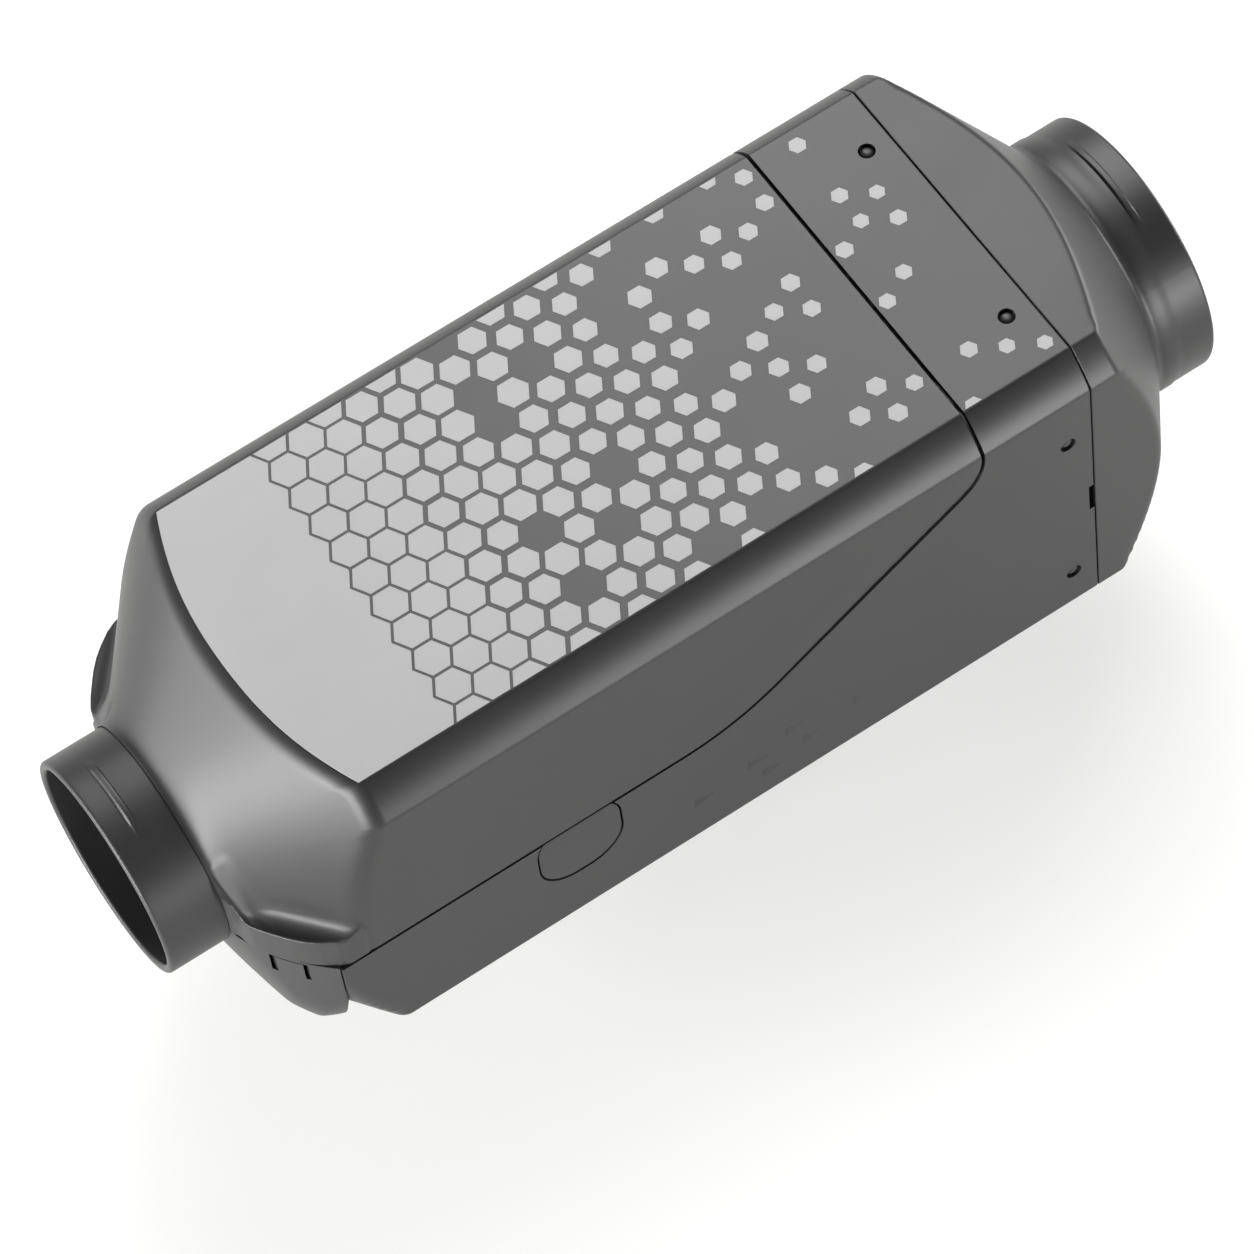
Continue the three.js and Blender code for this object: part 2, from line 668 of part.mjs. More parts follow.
function upperShell() {
  const stations = [
    ...steps(CREASE, FRONT, FLARE_STEPS),
    FRONT + FLARE_BLEND,
    RING_LINE + OVERSHOOT,
  ];
  const outer = polarLoft(stations, sectionAngles(), (x, angle) =>
    blendLow(sectionRadius(angle), inletFlare(x).radius, FLARE_BLEND),
  );
  const innerStations = [CREASE - OVERSHOOT, ...stations.slice(1, -1), RING_LINE + 2 * OVERSHOOT];
  const inner = polarLoft(innerStations, sectionAngles(WALL, INNER_FACE_STEPS), (x, angle) => {
    const flare = inletFlare(x);
    const radius = flare.radius - WALL * Math.hypot(1, flare.slope);
    return blendLow(sectionRadius(angle, WALL), radius, FLARE_BLEND);
  });
  const skirt = skirtBody(0, -HALF_HEIGHT / 2, SKIRT_RISE);
  const skirtHollow = skirtBody(WALL, -HALF_HEIGHT, SKIRT_RISE - WALL);
  const nozzleHole = discX(-OVERSHOOT, FUNNEL_END, INLET_NOZZLE_R + FIT_GAP);
  const hollow = unite([inner, skirtHollow, nozzleHole]);
  return cut(outer.add(skirt), [hollow]).intersect(partingBody(true));
}

/** One peg on the collar or one hole in the ring: its place round the section. */
function pegPlaces() {
  const top = [-1, 1].flatMap((up) => [-1, 1].map((side) => ({ axis: "z", sign: up, place: side * TOP_PEG_Y })));
  const flank = [-1, 1].flatMap((side) =>
    [SIDE_PEG_HIGH, SIDE_PEG_LOW].map((height) => ({ axis: "y", sign: side, place: height })),
  );
  return [...top, ...flank];
}

/** Rods at every peg place, from inside the collar out to a depth below the case face. */
function pegRods(radius, sunk) {
  const x = HOOD_LINE - PEG_FROM_HOOD;
  return pegPlaces().map(({ axis, sign, place }) => {
    const face = (axis === "z" ? HALF_HEIGHT : HALF_WIDTH) - sunk;
    const root = (axis === "z" ? HALF_HEIGHT : HALF_WIDTH) - WALL - FIT_GAP - COLLAR_WALL / 2;
    const [from, to] = sign > 0 ? [root, face] : [-face, -root];
    return axis === "z" ? rodZ(x, place, from, to, radius) : rodY(x, place, from, to, radius);
  });
}

/** A shallow ramped mark in the side face, deepest at its wide end. */
function sideMark(x, z, side) {
  const face = side * HALF_WIDTH;
  const deep = side * (HALF_WIDTH - MARK_DEPTH);
  const proud = side * (HALF_WIDTH + OVERSHOOT);
  const wideEnd = (y) => [
    new THREE.Vector3(x, y, z - MARK_HEIGHT / 2),
    new THREE.Vector3(x, y, z + MARK_HEIGHT / 2),
  ];
  const tip = (y) => new THREE.Vector3(x + MARK_LENGTH, y, z + MARK_HEIGHT / 2);
  return skin([
    [...wideEnd(deep), tip(face)],
    [...wideEnd(proud), tip(proud)],
  ]);
}

function sideMarks() {
  const marks = [];
  for (const side of [-1, 1]) {
    for (let row = 0; row < MARK_ROWS; row++) {
      for (let column = 0; column < MARK_COLUMNS; column++) {
        const x = RING_LINE - MARK_FROM_RING + column * MARK_PITCH + (row * MARK_PITCH) / 2;
        marks.push(sideMark(x, -MARK_DROP + row * MARK_ROW_PITCH, side));
      }
    }
  }
  return marks;
}

function capShape(grow) {
  return roundedRectangle(
    CAP_MIDDLE,
    CAP_Z,
    CAP_WIDTH + 2 * grow,
    CAP_HEIGHT + 2 * grow,
    CAP_ROUND + grow,
  );
}

/** The lower shell's front cone: its radius at a station. */
const lowerFlare = (x) =>
  LOWER_MOUTH_R + ((CORNER_R - LOWER_MOUTH_R) * (x - LOWER_FRONT)) / LOWER_FLARE_LENGTH;

function lowerShell() {
  const flareEnd = LOWER_FRONT + LOWER_FLARE_LENGTH;
  const stations = [...steps(LOWER_FRONT, flareEnd, LOWER_FLARE_STEPS), flareEnd + FLARE_BLEND, HOOD_LINE - SEAM / 2];
  const outer = polarLoft(stations, sectionAngles(), (x, angle) =>
    blendLow(sectionRadius(angle), lowerFlare(x), FLARE_BLEND / 2),
  );
  const lining = WALL * Math.hypot(1, (CORNER_R - LOWER_MOUTH_R) / LOWER_FLARE_LENGTH);
  const innerStations = [LOWER_FRONT - OVERSHOOT, ...stations.slice(1, -1), HOOD_LINE + OVERSHOOT];
  const inner = polarLoft(innerStations, sectionAngles(WALL, INNER_FACE_STEPS), (x, angle) =>
    blendLow(sectionRadius(angle, WALL), lowerFlare(x) - lining, FLARE_BLEND / 2),
  );
  const opening = extrudeZ(
    roundedRectangle(
      FLANGE_STATION,
      0,
      FOOT_LENGTH + 2 * FOOT_OPENING_GAP,
      FOOT_WIDTH + 2 * FOOT_OPENING_GAP,
      FOOT_CORNER + FOOT_OPENING_GAP,
    ),
    -CASE_HEIGHT,
    -HALF_HEIGHT / 2,
  );
  const caps = extrudeY(capShape(CAP_GAP), -CASE_WIDTH, CASE_WIDTH);
  const prySlots = block(
    [HOOD_LINE - PRY_SLOT_WIDTH - SEAM / 2, -CASE_WIDTH, PRY_SLOT_MIDDLE - PRY_SLOT_HEIGHT / 2],
    [HOOD_LINE + OVERSHOOT, CASE_WIDTH, PRY_SLOT_MIDDLE + PRY_SLOT_HEIGHT / 2],
  );
  const holes = pegRods(PEG_R + PEG_CLEARANCE, -OVERSHOOT);
  const shell = outer.subtract(inner).intersect(partingBody(false));
  return cut(shell, [opening, caps, prySlots, ...holes, ...sideMarks()]);
}

/** The crescent ridge that keeps a duct hose on a nozzle: a disc set off centre from the tube. */
function hoseRidge(x, nozzleR) {
  const half = RIDGE_WIDTH / 2;
  const radius = nozzleR + RIDGE_RISE - RIDGE_OFFSET;
  const ridge = discX(x - half, x + half, radius, ROUND_SIDES, [0, RIDGE_OFFSET]);
  return ridge.subtract(discX(x - OVERSHOOT - half, x + OVERSHOOT + half, nozzleR - NOZZLE_WALL / 2));
}

function inletHood() {
  const bore = INLET_NOZZLE_R - NOZZLE_WALL;
  const tube = revolve([
    [0, bore + RIM_ROUND],
    [0, INLET_NOZZLE_R - RIM_ROUND],
    [RIM_ROUND / 3, INLET_NOZZLE_R - RIM_ROUND / 3],
    [RIM_ROUND, INLET_NOZZLE_R],
    [FUNNEL_START, INLET_NOZZLE_R],
    [FUNNEL_END, SHROUD_R + SHROUD_WALL],
    [SHROUD_END, SHROUD_R + SHROUD_WALL],
    [SHROUD_END, SHROUD_R],
    [FUNNEL_END, SHROUD_R],
    [FUNNEL_START, bore],
    [RIM_ROUND, bore],
  ]);
  const outline = bowlOutline(0);
  const lining = bowlOutline(BOWL_WALL);
  const bowl = revolve([[CREASE, INLET_NOZZLE_R - NOZZLE_WALL / 2], ...outline, ...lining.toReversed()]);
  const below = block([-FAR, -FAR, -FAR], [BOWL_END, FAR, -PARTING_DROP - FIT_GAP]);
  const slots = SNAP_SLOT_STATIONS.flatMap((offset) =>
    [-1, 1].map((side) => {
      const x = CREASE + offset;
      const reach = [bowlRadius(x) - 2 * BOWL_WALL, bowlRadius(x) + 2 * BOWL_WALL].map((y) => side * y);
      const top = -PARTING_DROP - SNAP_SLOT_DROP;
      return block(
        [x - SNAP_SLOT_WIDTH / 2, Math.min(...reach), top - SNAP_SLOT_HEIGHT],
        [x + SNAP_SLOT_WIDTH / 2, Math.max(...reach), top],
      );
    }),
  );
  return tube.add(cut(bowl.intersect(below), slots)).add(hoseRidge(RIDGE_FROM_RIM, INLET_NOZZLE_R));
}

function outletHood() {
  const start = HOOD_LINE + SEAM / 2;
  const flareStations = steps(HOOD_SHOULDER, NECK, FLARE_STEPS);
  const outer = polarLoft([start, ...flareStations, NECK + NECK_BLEND], sectionAngles(), (x, angle) => {
    const flared = blendLow(sectionRadius(angle), outletFlare(x).radius, FLARE_BLEND);
    return blendHigh(flared, OUTLET_NOZZLE_R, NECK_BLEND);
  });
  const bore = OUTLET_NOZZLE_R - NOZZLE_WALL;
  const bandInset = WALL + FIT_GAP + COLLAR_WALL;
  const inner = polarLoft(
    [HOOD_LINE + HOOD_BAND, ...flareStations.slice(1), NECK + 2 * NECK_BLEND],
    sectionAngles(WALL, INNER_FACE_STEPS),
    (x, angle) => {
      const flare = outletFlare(x);
      const radius = flare.radius - WALL * Math.hypot(1, flare.slope);
      return blendHigh(blendLow(sectionRadius(angle, WALL), radius, FLARE_BLEND), bore, NECK_BLEND);
    },
  );
  const nozzle = revolve([
    [NECK, bore],
    [NECK, OUTLET_NOZZLE_R],
    [OUTLET_RIM - RIM_ROUND, OUTLET_NOZZLE_R],
    [OUTLET_RIM - RIM_ROUND / 3, OUTLET_NOZZLE_R - RIM_ROUND / 3],
    [OUTLET_RIM, OUTLET_NOZZLE_R - RIM_ROUND],
    [OUTLET_RIM, bore + RIM_ROUND],
    [OUTLET_RIM - RIM_ROUND, bore],
  ]);
  const straight = (from, to, inset) =>
    polarLoft([from, to], sectionAngles(inset, 1), (x, angle) => sectionRadius(angle, inset));
  const collar = straight(HOOD_LINE - COLLAR_LENGTH, start + OVERSHOOT, WALL + FIT_GAP);
  const mouth = straight(HOOD_LINE - COLLAR_LENGTH - OVERSHOOT, HOOD_LINE + HOOD_BAND + OVERSHOOT, bandInset);
  const shell = outer.add(collar).subtract(discX(NECK - OVERSHOOT, FAR + NECK, bore));
  const body = cut(shell, [inner, mouth]).add(nozzle).add(hoseRidge(OUTLET_RIM - RIDGE_FROM_RIM, OUTLET_NOZZLE_R));
  return unite([body, ...pegRods(PEG_R, PEG_SUNK)]);
}

/** A domed cap in a cable exit: flush at its crown, sunk a little at its edge. */
function cableCap(side) {
  const outline = capShape(0).getPoints(CURVE_STEPS).slice(0, -1);
  const ring = (share, sunk) =>
    outline.map(
      (p) =>
        new THREE.Vector3(
          CAP_MIDDLE + (p.x - CAP_MIDDLE) * share,
          side * (HALF_WIDTH - sunk),
          CAP_Z + (p.y - CAP_Z) * share,
        ),
    );
  const depth = CAP_EDGE_SUNK - CAP_CROWN_SUNK;
  const dome = CAP_DOME_SHARES.map((share) => ring(share, CAP_CROWN_SUNK + depth * share * share));
  const back = ring(1, CAP_EDGE_SUNK + CAP_THICKNESS);
  const below = partingBody(false);
  return skin([back, ...dome]).intersect(below);
}

// ---- Blower ----

/** The centre of a blower screw at an angle round the duct axis. */
const lugCentre = (angle) => [LUG_PITCH_R * Math.cos(angle), LUG_PITCH_R * Math.sin(angle)];

/** A round flange with four ears for the blower screws, bored in the middle when a radius is given. */
function earedFlange(from, to, boreR = 0) {
  const shape = new THREE.Shape();
  const half = Math.asin(LUG_R / BLOWER_FLANGE_R);
  LUG_ANGLES.forEach((angle) => {
    const [y, z] = lugCentre(angle);
    shape.absarc(y, z, LUG_R, angle - Math.PI / 2, angle + Math.PI / 2, false);
    shape.absarc(0, 0, BLOWER_FLANGE_R, angle + half, angle + Math.PI / 2 - half, false);
    shape.holes.push(new THREE.Path(circle(y, z, SCREW_R + FIT_GAP, SMALL_SIDES)));
  });
  if (boreR > 0) {
    shape.holes.push(new THREE.Path(circle(0, 0, boreR, INNER_SIDES)));
  }
  return extrudeX(shape, from, to);
}

function blowerHousing() {
  const pocket = MOTOR_R + FIT_GAP;
  const bearingSeat = BEARING_R + FIT_GAP;
  const flange = earedFlange(BLOWER_BACK - BLOWER_FLANGE_THICKNESS, BLOWER_BACK, pocket);
  const cup = revolve(
    [
      [BLOWER_FRONT, bearingSeat],
      [BLOWER_FRONT, HOUSING_R],
      [BLOWER_BACK - BLOWER_FLANGE_THICKNESS / 2, HOUSING_R],
      [BLOWER_BACK - BLOWER_FLANGE_THICKNESS / 2, pocket],
      [BLOWER_FRONT + HOUSING_FRONT_WALL, pocket],
      [BLOWER_FRONT + HOUSING_FRONT_WALL, bearingSeat],
    ],
    INNER_SIDES,
  );
  const ringR = SHROUD_R + SHROUD_WALL;
  const ring = revolve([
    [BLOWER_FRONT, SHROUD_R],
    [BLOWER_FRONT, ringR],
    [BLOWER_FRONT + STRUT_LENGTH, ringR],
    [BLOWER_FRONT + STRUT_LENGTH, SHROUD_R],
  ]);
  const struts = turns(STRUT_COUNT).map((turn) =>
    block(
      [BLOWER_FRONT, HOUSING_R - HOUSING_WALL / 2, -STRUT_WIDTH / 2],
      [BLOWER_FRONT + STRUT_LENGTH, SHROUD_R + SHROUD_WALL / 2, STRUT_WIDTH / 2],
      turn,
    ),
  );
  const pad = block(
    [ECU_STATION - ECU_PAD_LENGTH / 2, -ECU_PAD_WIDTH / 2, HOUSING_R / 2],
    [ECU_STATION + ECU_PAD_LENGTH / 2, ECU_PAD_WIDTH / 2, HOUSING_R + ECU_PAD_RISE],
  );
  const core = discX(BLOWER_FRONT + HOUSING_FRONT_WALL, BLOWER_BACK, pocket, INNER_SIDES);
  const ecuHoles = [-1, 1].map((side) =>
    rodZ(ECU_STATION, side * ECU_SCREW_Y, HOUSING_R / 2, ECU_BOTTOM, SCREW_R + FIT_GAP),
  );
  return cut(unite([cup, flange, ring, ...struts, pad]), [core, ...ecuHoles]);
}

function blowerCover() {
  const chamberR = BLOWER_FLANGE_R - COVER_WALL;
  const plate = earedFlange(COVER_FRONT, COVER_BACK, COVER_OUTLET_R);
  const chamber = discX(COVER_FRONT - OVERSHOOT, COVER_BACK - COVER_WALL, chamberR);
  return plate.subtract(chamber);
}

const flangeGasket = (from, boreR) => earedFlange(from, from + GASKET_THICKNESS, boreR);

function motorCan() {
  const inner = MOTOR_R - MOTOR_CAN_WALL;
  const seat = BEARING_R + FIT_GAP;
  return revolve(
    [
      [MOTOR_FRONT, seat],
      [MOTOR_FRONT, MOTOR_R],
      [MOTOR_BACK, MOTOR_R],
      [MOTOR_BACK, seat],
      [MOTOR_BACK - MOTOR_CAN_WALL, seat],
      [MOTOR_BACK - MOTOR_CAN_WALL, inner],
      [MOTOR_FRONT + MOTOR_CAN_WALL, inner],
      [MOTOR_FRONT + MOTOR_CAN_WALL, seat],
    ],
    INNER_SIDES,
  );
}

/** A shielded ball bearing: two races proud of the shield between them, open on its front face. */
function bearing(from) {
  const bore = SHAFT_R + RUNNING_GAP;
  return revolve(
    [
      [from, bore],
      [from, bore + RACE_WIDTH],
      [from + SHIELD_SUNK, bore + RACE_WIDTH],
      [from + SHIELD_SUNK, BEARING_R - RACE_WIDTH],
      [from, BEARING_R - RACE_WIDTH],
      [from, BEARING_R],
      [from + BEARING_WIDTH, BEARING_R],
      [from + BEARING_WIDTH, bore],
    ],
    SHAFT_SIDES,
  );
}

const motorShaft = () => discX(FAN_FRONT - SHAFT_NOSE, SHAFT_END, SHAFT_R, SHAFT_SIDES);

/** The shaft's clearance bore through a piece that sits on it. */
const shaftBore = (from, to) =>
  discX(from - OVERSHOOT, to + OVERSHOOT, SHAFT_R + RUNNING_GAP, SHAFT_SIDES);

/** The laminated pack on the shaft, slotted for its windings. */
function motorRotor() {
  const radius = MOTOR_R - MOTOR_CAN_WALL - ROTOR_GAP;
  const from = MOTOR_FRONT + MOTOR_CAN_WALL + BEARING_WIDTH;
  const to = MOTOR_BACK - MOTOR_CAN_WALL - BEARING_WIDTH;
  const half = Math.PI / ROTOR_TEETH;
  const at = (r, angle) => new THREE.Vector2(r * Math.cos(angle), r * Math.sin(angle));
  const outline = turns(ROTOR_TEETH).flatMap((turn) => [
    at(radius, turn - half * ROTOR_TOOTH_SHARE),
    at(radius, turn + half * ROTOR_TOOTH_SHARE),
    at(radius - ROTOR_SLOT_DEPTH, turn + half * ROTOR_TOOTH_SHARE),
    at(radius - ROTOR_SLOT_DEPTH, turn + half * (2 - ROTOR_TOOTH_SHARE)),
  ]);
  return extrudeX(new THREE.Shape(outline), from, to).subtract(shaftBore(from, to));
}

/** One twisted and swept fan blade, lofted in rings from inside the hub to the tip. */
function fanBlade(turn) {
  const rings = steps(FAN_HUB_R - FAN_HUB_WALL / 2, FAN_R, BLADE_RINGS).map((radius) => {
    const share = (radius - FAN_HUB_R) / (FAN_R - FAN_HUB_R);
    const pitch = THREE.MathUtils.degToRad(THREE.MathUtils.lerp(BLADE_ROOT_PITCH, BLADE_TIP_PITCH, share));
    const chord = THREE.MathUtils.lerp(BLADE_ROOT_CHORD, BLADE_TIP_CHORD, share);
    const half = THREE.MathUtils.lerp(BLADE_ROOT_THICKNESS, BLADE_TIP_THICKNESS, share) / 2;
    const corner = (along, off) => {
      const bow = off + BLADE_CAMBER * (1 - (2 * along) ** 2);
      const axial = along * chord * Math.sin(pitch) + bow * Math.cos(pitch);
      const around = bow * Math.sin(pitch) - along * chord * Math.cos(pitch);
      const angle = turn + share * BLADE_SWEEP + around / radius;
      const x = THREE.MathUtils.clamp((FAN_FRONT + FAN_BACK) / 2 + axial, FAN_FRONT, FAN_BACK);
      return new THREE.Vector3(x, radius * Math.cos(angle), radius * Math.sin(angle));
    };
    const thick = [-BLADE_THICK_SHARE, BLADE_THICK_SHARE];
    const upper = thick.map((along) => corner(along, half));
    const lower = thick.toReversed().map((along) => corner(along, -half));
    return [corner(-0.5, 0), ...upper, corner(0.5, 0), ...lower];
  });
  return skin(rings);
}

function fanImpeller() {
  const inner = FAN_HUB_R - FAN_HUB_WALL;
  const web = FAN_FRONT + FAN_HUB_WEB;
  const boss = SHAFT_R + FAN_BOSS_WALL;
  const hub = revolve(
    [
      [FAN_FRONT, SHAFT_R + RUNNING_GAP],
      [FAN_FRONT, FAN_NOSE_R],
      [FAN_FRONT + FAN_HUB_R - FAN_NOSE_R, FAN_HUB_R],
      [FAN_BACK, FAN_HUB_R],
      [FAN_BACK, inner],
      [web, inner],
      [web, boss],
      [FAN_BACK, boss],
      [FAN_BACK, SHAFT_R + RUNNING_GAP],
    ],
    INNER_SIDES,
  );
  const clear = discX(FAN_FRONT - OVERSHOOT, FAN_BACK + OVERSHOOT, inner, INNER_SIDES);
  const blades = unite(turns(FAN_BLADES).map(fanBlade));
  return hub.add(blades.subtract(clear));
}

/** The domed clip that holds the fan on the shaft's nose, hollow where the nose ends. */
function fanClip() {
  const back = FAN_FRONT - FIT_GAP;
  const dome = steps(0, Math.PI / 2, FLARE_STEPS).map((t) => [
    back - CLIP_DOME * Math.cos(t),
    FAN_NOSE_R * Math.sin(t),
  ]);
  const bore = SHAFT_R + RUNNING_GAP;
  const floor = FAN_FRONT - SHAFT_NOSE - FIT_GAP;
  return revolve([...dome, [back, bore], [floor, bore], [floor, 0]], SHAFT_SIDES);
}

/** The radial-bladed impeller that feeds air to the burner. */
function combustionImpeller() {
  const front = COVER_FRONT + IMPELLER_FRONT_GAP + MAGNET_WIDTH;
  const back = front + IMPELLER_DISC + IMPELLER_BLADE_DEPTH;
  const disc = discX(front, front + IMPELLER_DISC, IMPELLER_R, INNER_SIDES);
  const hub = discX(front, back, IMPELLER_HUB_R, SHAFT_SIDES);
  const half = IMPELLER_BLADE_THICKNESS / 2;
  const blades = turns(IMPELLER_BLADES).map((turn) =>
    block([front, IMPELLER_EYE_R, -half], [back, IMPELLER_R - OVERSHOOT, half], turn),
  );
  return unite([disc, hub, ...blades]).subtract(shaftBore(front, back));
}

/** The ring magnet that the speed pick-up reads. */
function speedMagnet() {
  const from = COVER_FRONT + IMPELLER_FRONT_GAP;
  const to = from + MAGNET_WIDTH - FIT_GAP;
  return discX(from, to, MAGNET_R, SHAFT_SIDES).subtract(shaftBore(from, to));
}

/** One blower screw, from its head on the housing's ear into the heat exchanger. */
function blowerScrew(angle) {
  const centre = lugCentre(angle);
  const top = BLOWER_SCREW_FRONT;
  const seat = top + SCREW_HEAD_HEIGHT;
  const tip = EXCHANGER_FRONT + SCREW_GRIP;
  const head = discX(top, seat, SCREW_HEAD_R, SMALL_SIDES, centre);
  const shank = discX(seat - OVERSHOOT, tip, SCREW_R, SMALL_SIDES, centre);
  const socket = discX(top - OVERSHOOT, seat - SCREW_HEAD_HEIGHT / 2, SCREW_R, HEX_SIDES, centre);
  return head.add(shank).subtract(socket);
}

// ---- Burner and heat exchanger ----

/** The burner: an eared flange that carries the flame tube, holed for flame and glow plug. */
function burner() {
  const inner = FLAME_TUBE_R - FLAME_TUBE_WALL;
  const back = BURNER_FRONT + BURNER_FLANGE_THICKNESS;
  const tubeEnd = BURNER_FRONT + FLAME_TUBE_LENGTH;
  const holeX = tubeEnd - FLAME_HOLES_FROM_END;
  const flange = earedFlange(BURNER_FRONT, back, COVER_OUTLET_R);
  const tube = revolve(
    [
      [back - OVERSHOOT, inner],
      [back - OVERSHOOT, FLAME_TUBE_R],
      [tubeEnd, FLAME_TUBE_R],
      [tubeEnd, inner],
    ],
    INNER_SIDES,
  );
  const reach = EXCHANGER_BORE_R;
  const flameHoles = [
    rodZ(holeX, 0, -reach, reach, FLAME_HOLE_R, HEX_SIDES),
    rodY(holeX, 0, -reach, reach, FLAME_HOLE_R, HEX_SIDES),
  ];
  const plugHole = rodZ(PLUG_X, 0, 0, reach, PLUG_TIP_R + FIT_GAP);
  return cut(flange.add(tube), [...flameHoles, plugHole]);
}

/** The finned body's section: parallel-sided fins from the core out to just inside the casing. */
function finShape() {
  const half = FIN_THICKNESS / 2;
  const root = Math.sqrt(EXCHANGER_CORE_R ** 2 - half ** 2);
  const outline = turns(FIN_COUNT).flatMap((turn) => {
    const angle = turn + Math.PI / FIN_COUNT;
    const tip = sectionRadius(angle, WALL + FIN_TIP_CLEARANCE) - FIN_TIP_CLEARANCE;
    const axis = new THREE.Vector2(Math.cos(angle), Math.sin(angle));
    const across = new THREE.Vector2(-axis.y, axis.x).multiplyScalar(half);
    const at = (r, side) => axis.clone().multiplyScalar(r).addScaledVector(across, side);
    return [at(root, -1), at(tip, -1), at(tip, 1), at(root, 1)];
  });
  return new THREE.Shape(outline);
}

/** The cast foot under the heat exchanger, out through the opening in the lower shell. */
function footBody() {
  const plate = roundedRectangle(FLANGE_STATION, 0, FOOT_LENGTH, FOOT_WIDTH, FOOT_CORNER);
  const pedestal = block(
    [FLANGE_STATION - PEDESTAL_LENGTH / 2, -PEDESTAL_WIDTH / 2, -HALF_HEIGHT],
    [FLANGE_STATION + PEDESTAL_LENGTH / 2, PEDESTAL_WIDTH / 2, -EXCHANGER_BORE_R],
  );
  return extrudeZ(plate, FOOT_BOTTOM, FOOT_TOP).add(pedestal);
}

/** Every bore up into the foot, from below it, with a clearance round what it takes. */
function footBores() {
  const low = FOOT_BOTTOM - OVERSHOOT;
  const studs = studPlaces().map(([x, y]) => rodZ(x, y, low, FOOT_BOTTOM + STUD_SEAT, STUD_R + FIT_GAP));
  const stubs = Object.values(STUB_STATIONS).map((x) =>
    rodZ(x, 0, low, FOOT_BOTTOM + STUB_SEAT, STUB_R + FIT_GAP, SHAFT_SIDES),
  );
  const fuel = rodZ(FUEL_PIPE_STATION, FUEL_PIPE_Y, low, -EXCHANGER_BORE_R / 2, FUEL_PIPE_R + FIT_GAP);
  return [...studs, ...stubs, fuel];
}

/** A box on the duct axis above the core, for the sensor's seat or the room round it. */
const sensorBox = (grow, low, high) =>
  block(
    [SENSOR_STATION - SENSOR_LENGTH / 2 - grow, -SENSOR_WIDTH / 2 - grow, low],
    [SENSOR_STATION + SENSOR_LENGTH / 2 + grow, SENSOR_WIDTH / 2 + grow, high],
  );

function heatExchanger() {
  const flangeBack = EXCHANGER_FRONT + EXCHANGER_FLANGE_THICKNESS;
  const domeStart = EXCHANGER_REAR - EXCHANGER_DOME;
  const core = revolve(
    [
      [EXCHANGER_FRONT, 0],
      [EXCHANGER_FRONT, EXCHANGER_CORE_R],
      [domeStart, EXCHANGER_CORE_R],
      [EXCHANGER_REAR - EXCHANGER_DOME / 3, EXCHANGER_CORE_R * DOME_SHOULDER],
      [EXCHANGER_REAR, 0],
    ],
    INNER_SIDES,
  );
  const fins = extrudeX(finShape(), flangeBack + FIN_SETBACK, domeStart);
  const flange = earedFlange(EXCHANGER_FRONT, flangeBack);
  const inside = EXCHANGER_BORE_R / 2;
  const plugRoom = rodZ(PLUG_X, 0, EXCHANGER_CORE_R - OVERSHOOT, CASE_HEIGHT, BOSS_R + BOSS_ROOM);
  const sensorRoom = sensorBox(BOSS_ROOM, EXCHANGER_CORE_R - OVERSHOOT, CASE_HEIGHT);
  const finned = cut(core.add(fins), [plugRoom, sensorRoom]);
  const plugBoss = rodZ(PLUG_X, 0, inside, PLUG_SEAT_Z, BOSS_R, SHAFT_SIDES);
  const sensorSeat = sensorBox(FIT_GAP, inside, SENSOR_SEAT_Z);
  const bore = discX(EXCHANGER_FRONT - OVERSHOOT, domeStart, EXCHANGER_BORE_R, INNER_SIDES);
  const plugBore = rodZ(PLUG_X, 0, 0, CASE_HEIGHT, PLUG_THREAD_R + FIT_GAP);
  return cut(unite([finned, flange, footBody(), plugBoss, sensorSeat]), [bore, plugBore, ...footBores()]);
}

function glowPlug() {
  const seat = PLUG_SEAT_Z + FIT_GAP;
  return unite([
    rodZ(PLUG_X, 0, PLUG_TIP_Z, EXCHANGER_CORE_R, PLUG_TIP_R),
    rodZ(PLUG_X, 0, EXCHANGER_BORE_R, seat + OVERSHOOT, PLUG_THREAD_R),
    rodZ(PLUG_X, 0, seat, seat + PLUG_HEX_HEIGHT, PLUG_HEX_R, HEX_SIDES),
    rodZ(PLUG_X, 0, seat, seat + PLUG_HEX_HEIGHT + PLUG_POST_HEIGHT, PLUG_POST_R),
  ]);
}

/** The gauze sleeve that wicks fuel round the plug's tip. */
function glowScreen() {
  const low = PLUG_TIP_Z - OVERSHOOT;
  const high = FLAME_TUBE_R - FLAME_TUBE_WALL - 2 * FIT_GAP;
  const outer = rodZ(PLUG_X, 0, low, high, PLUG_TIP_R + SCREEN_WALL);
  return outer.subtract(rodZ(PLUG_X, 0, low - OVERSHOOT, high + OVERSHOOT, PLUG_TIP_R + FIT_GAP));
}

const overheatSensor = () => sensorBox(0, SENSOR_BOTTOM, SENSOR_BOTTOM + SENSOR_HEIGHT);

/** The spring strap that presses the sensor on its seat. */
function sensorClip() {
  const under = SENSOR_BOTTOM + SENSOR_HEIGHT + FIT_GAP;
  const inner = SENSOR_WIDTH / 2 + FIT_GAP;
  const outer = inner + CLIP_THICKNESS;
  const from = SENSOR_STATION - CLIP_WIDTH / 2;
  const to = SENSOR_STATION + CLIP_WIDTH / 2;
  const strap = block([from, -outer, SENSOR_BOTTOM], [to, outer, under + CLIP_THICKNESS]);
  return strap.subtract(block([from - OVERSHOOT, -inner, 0], [to + OVERSHOOT, inner, under]));
}

// ---- Control unit ----

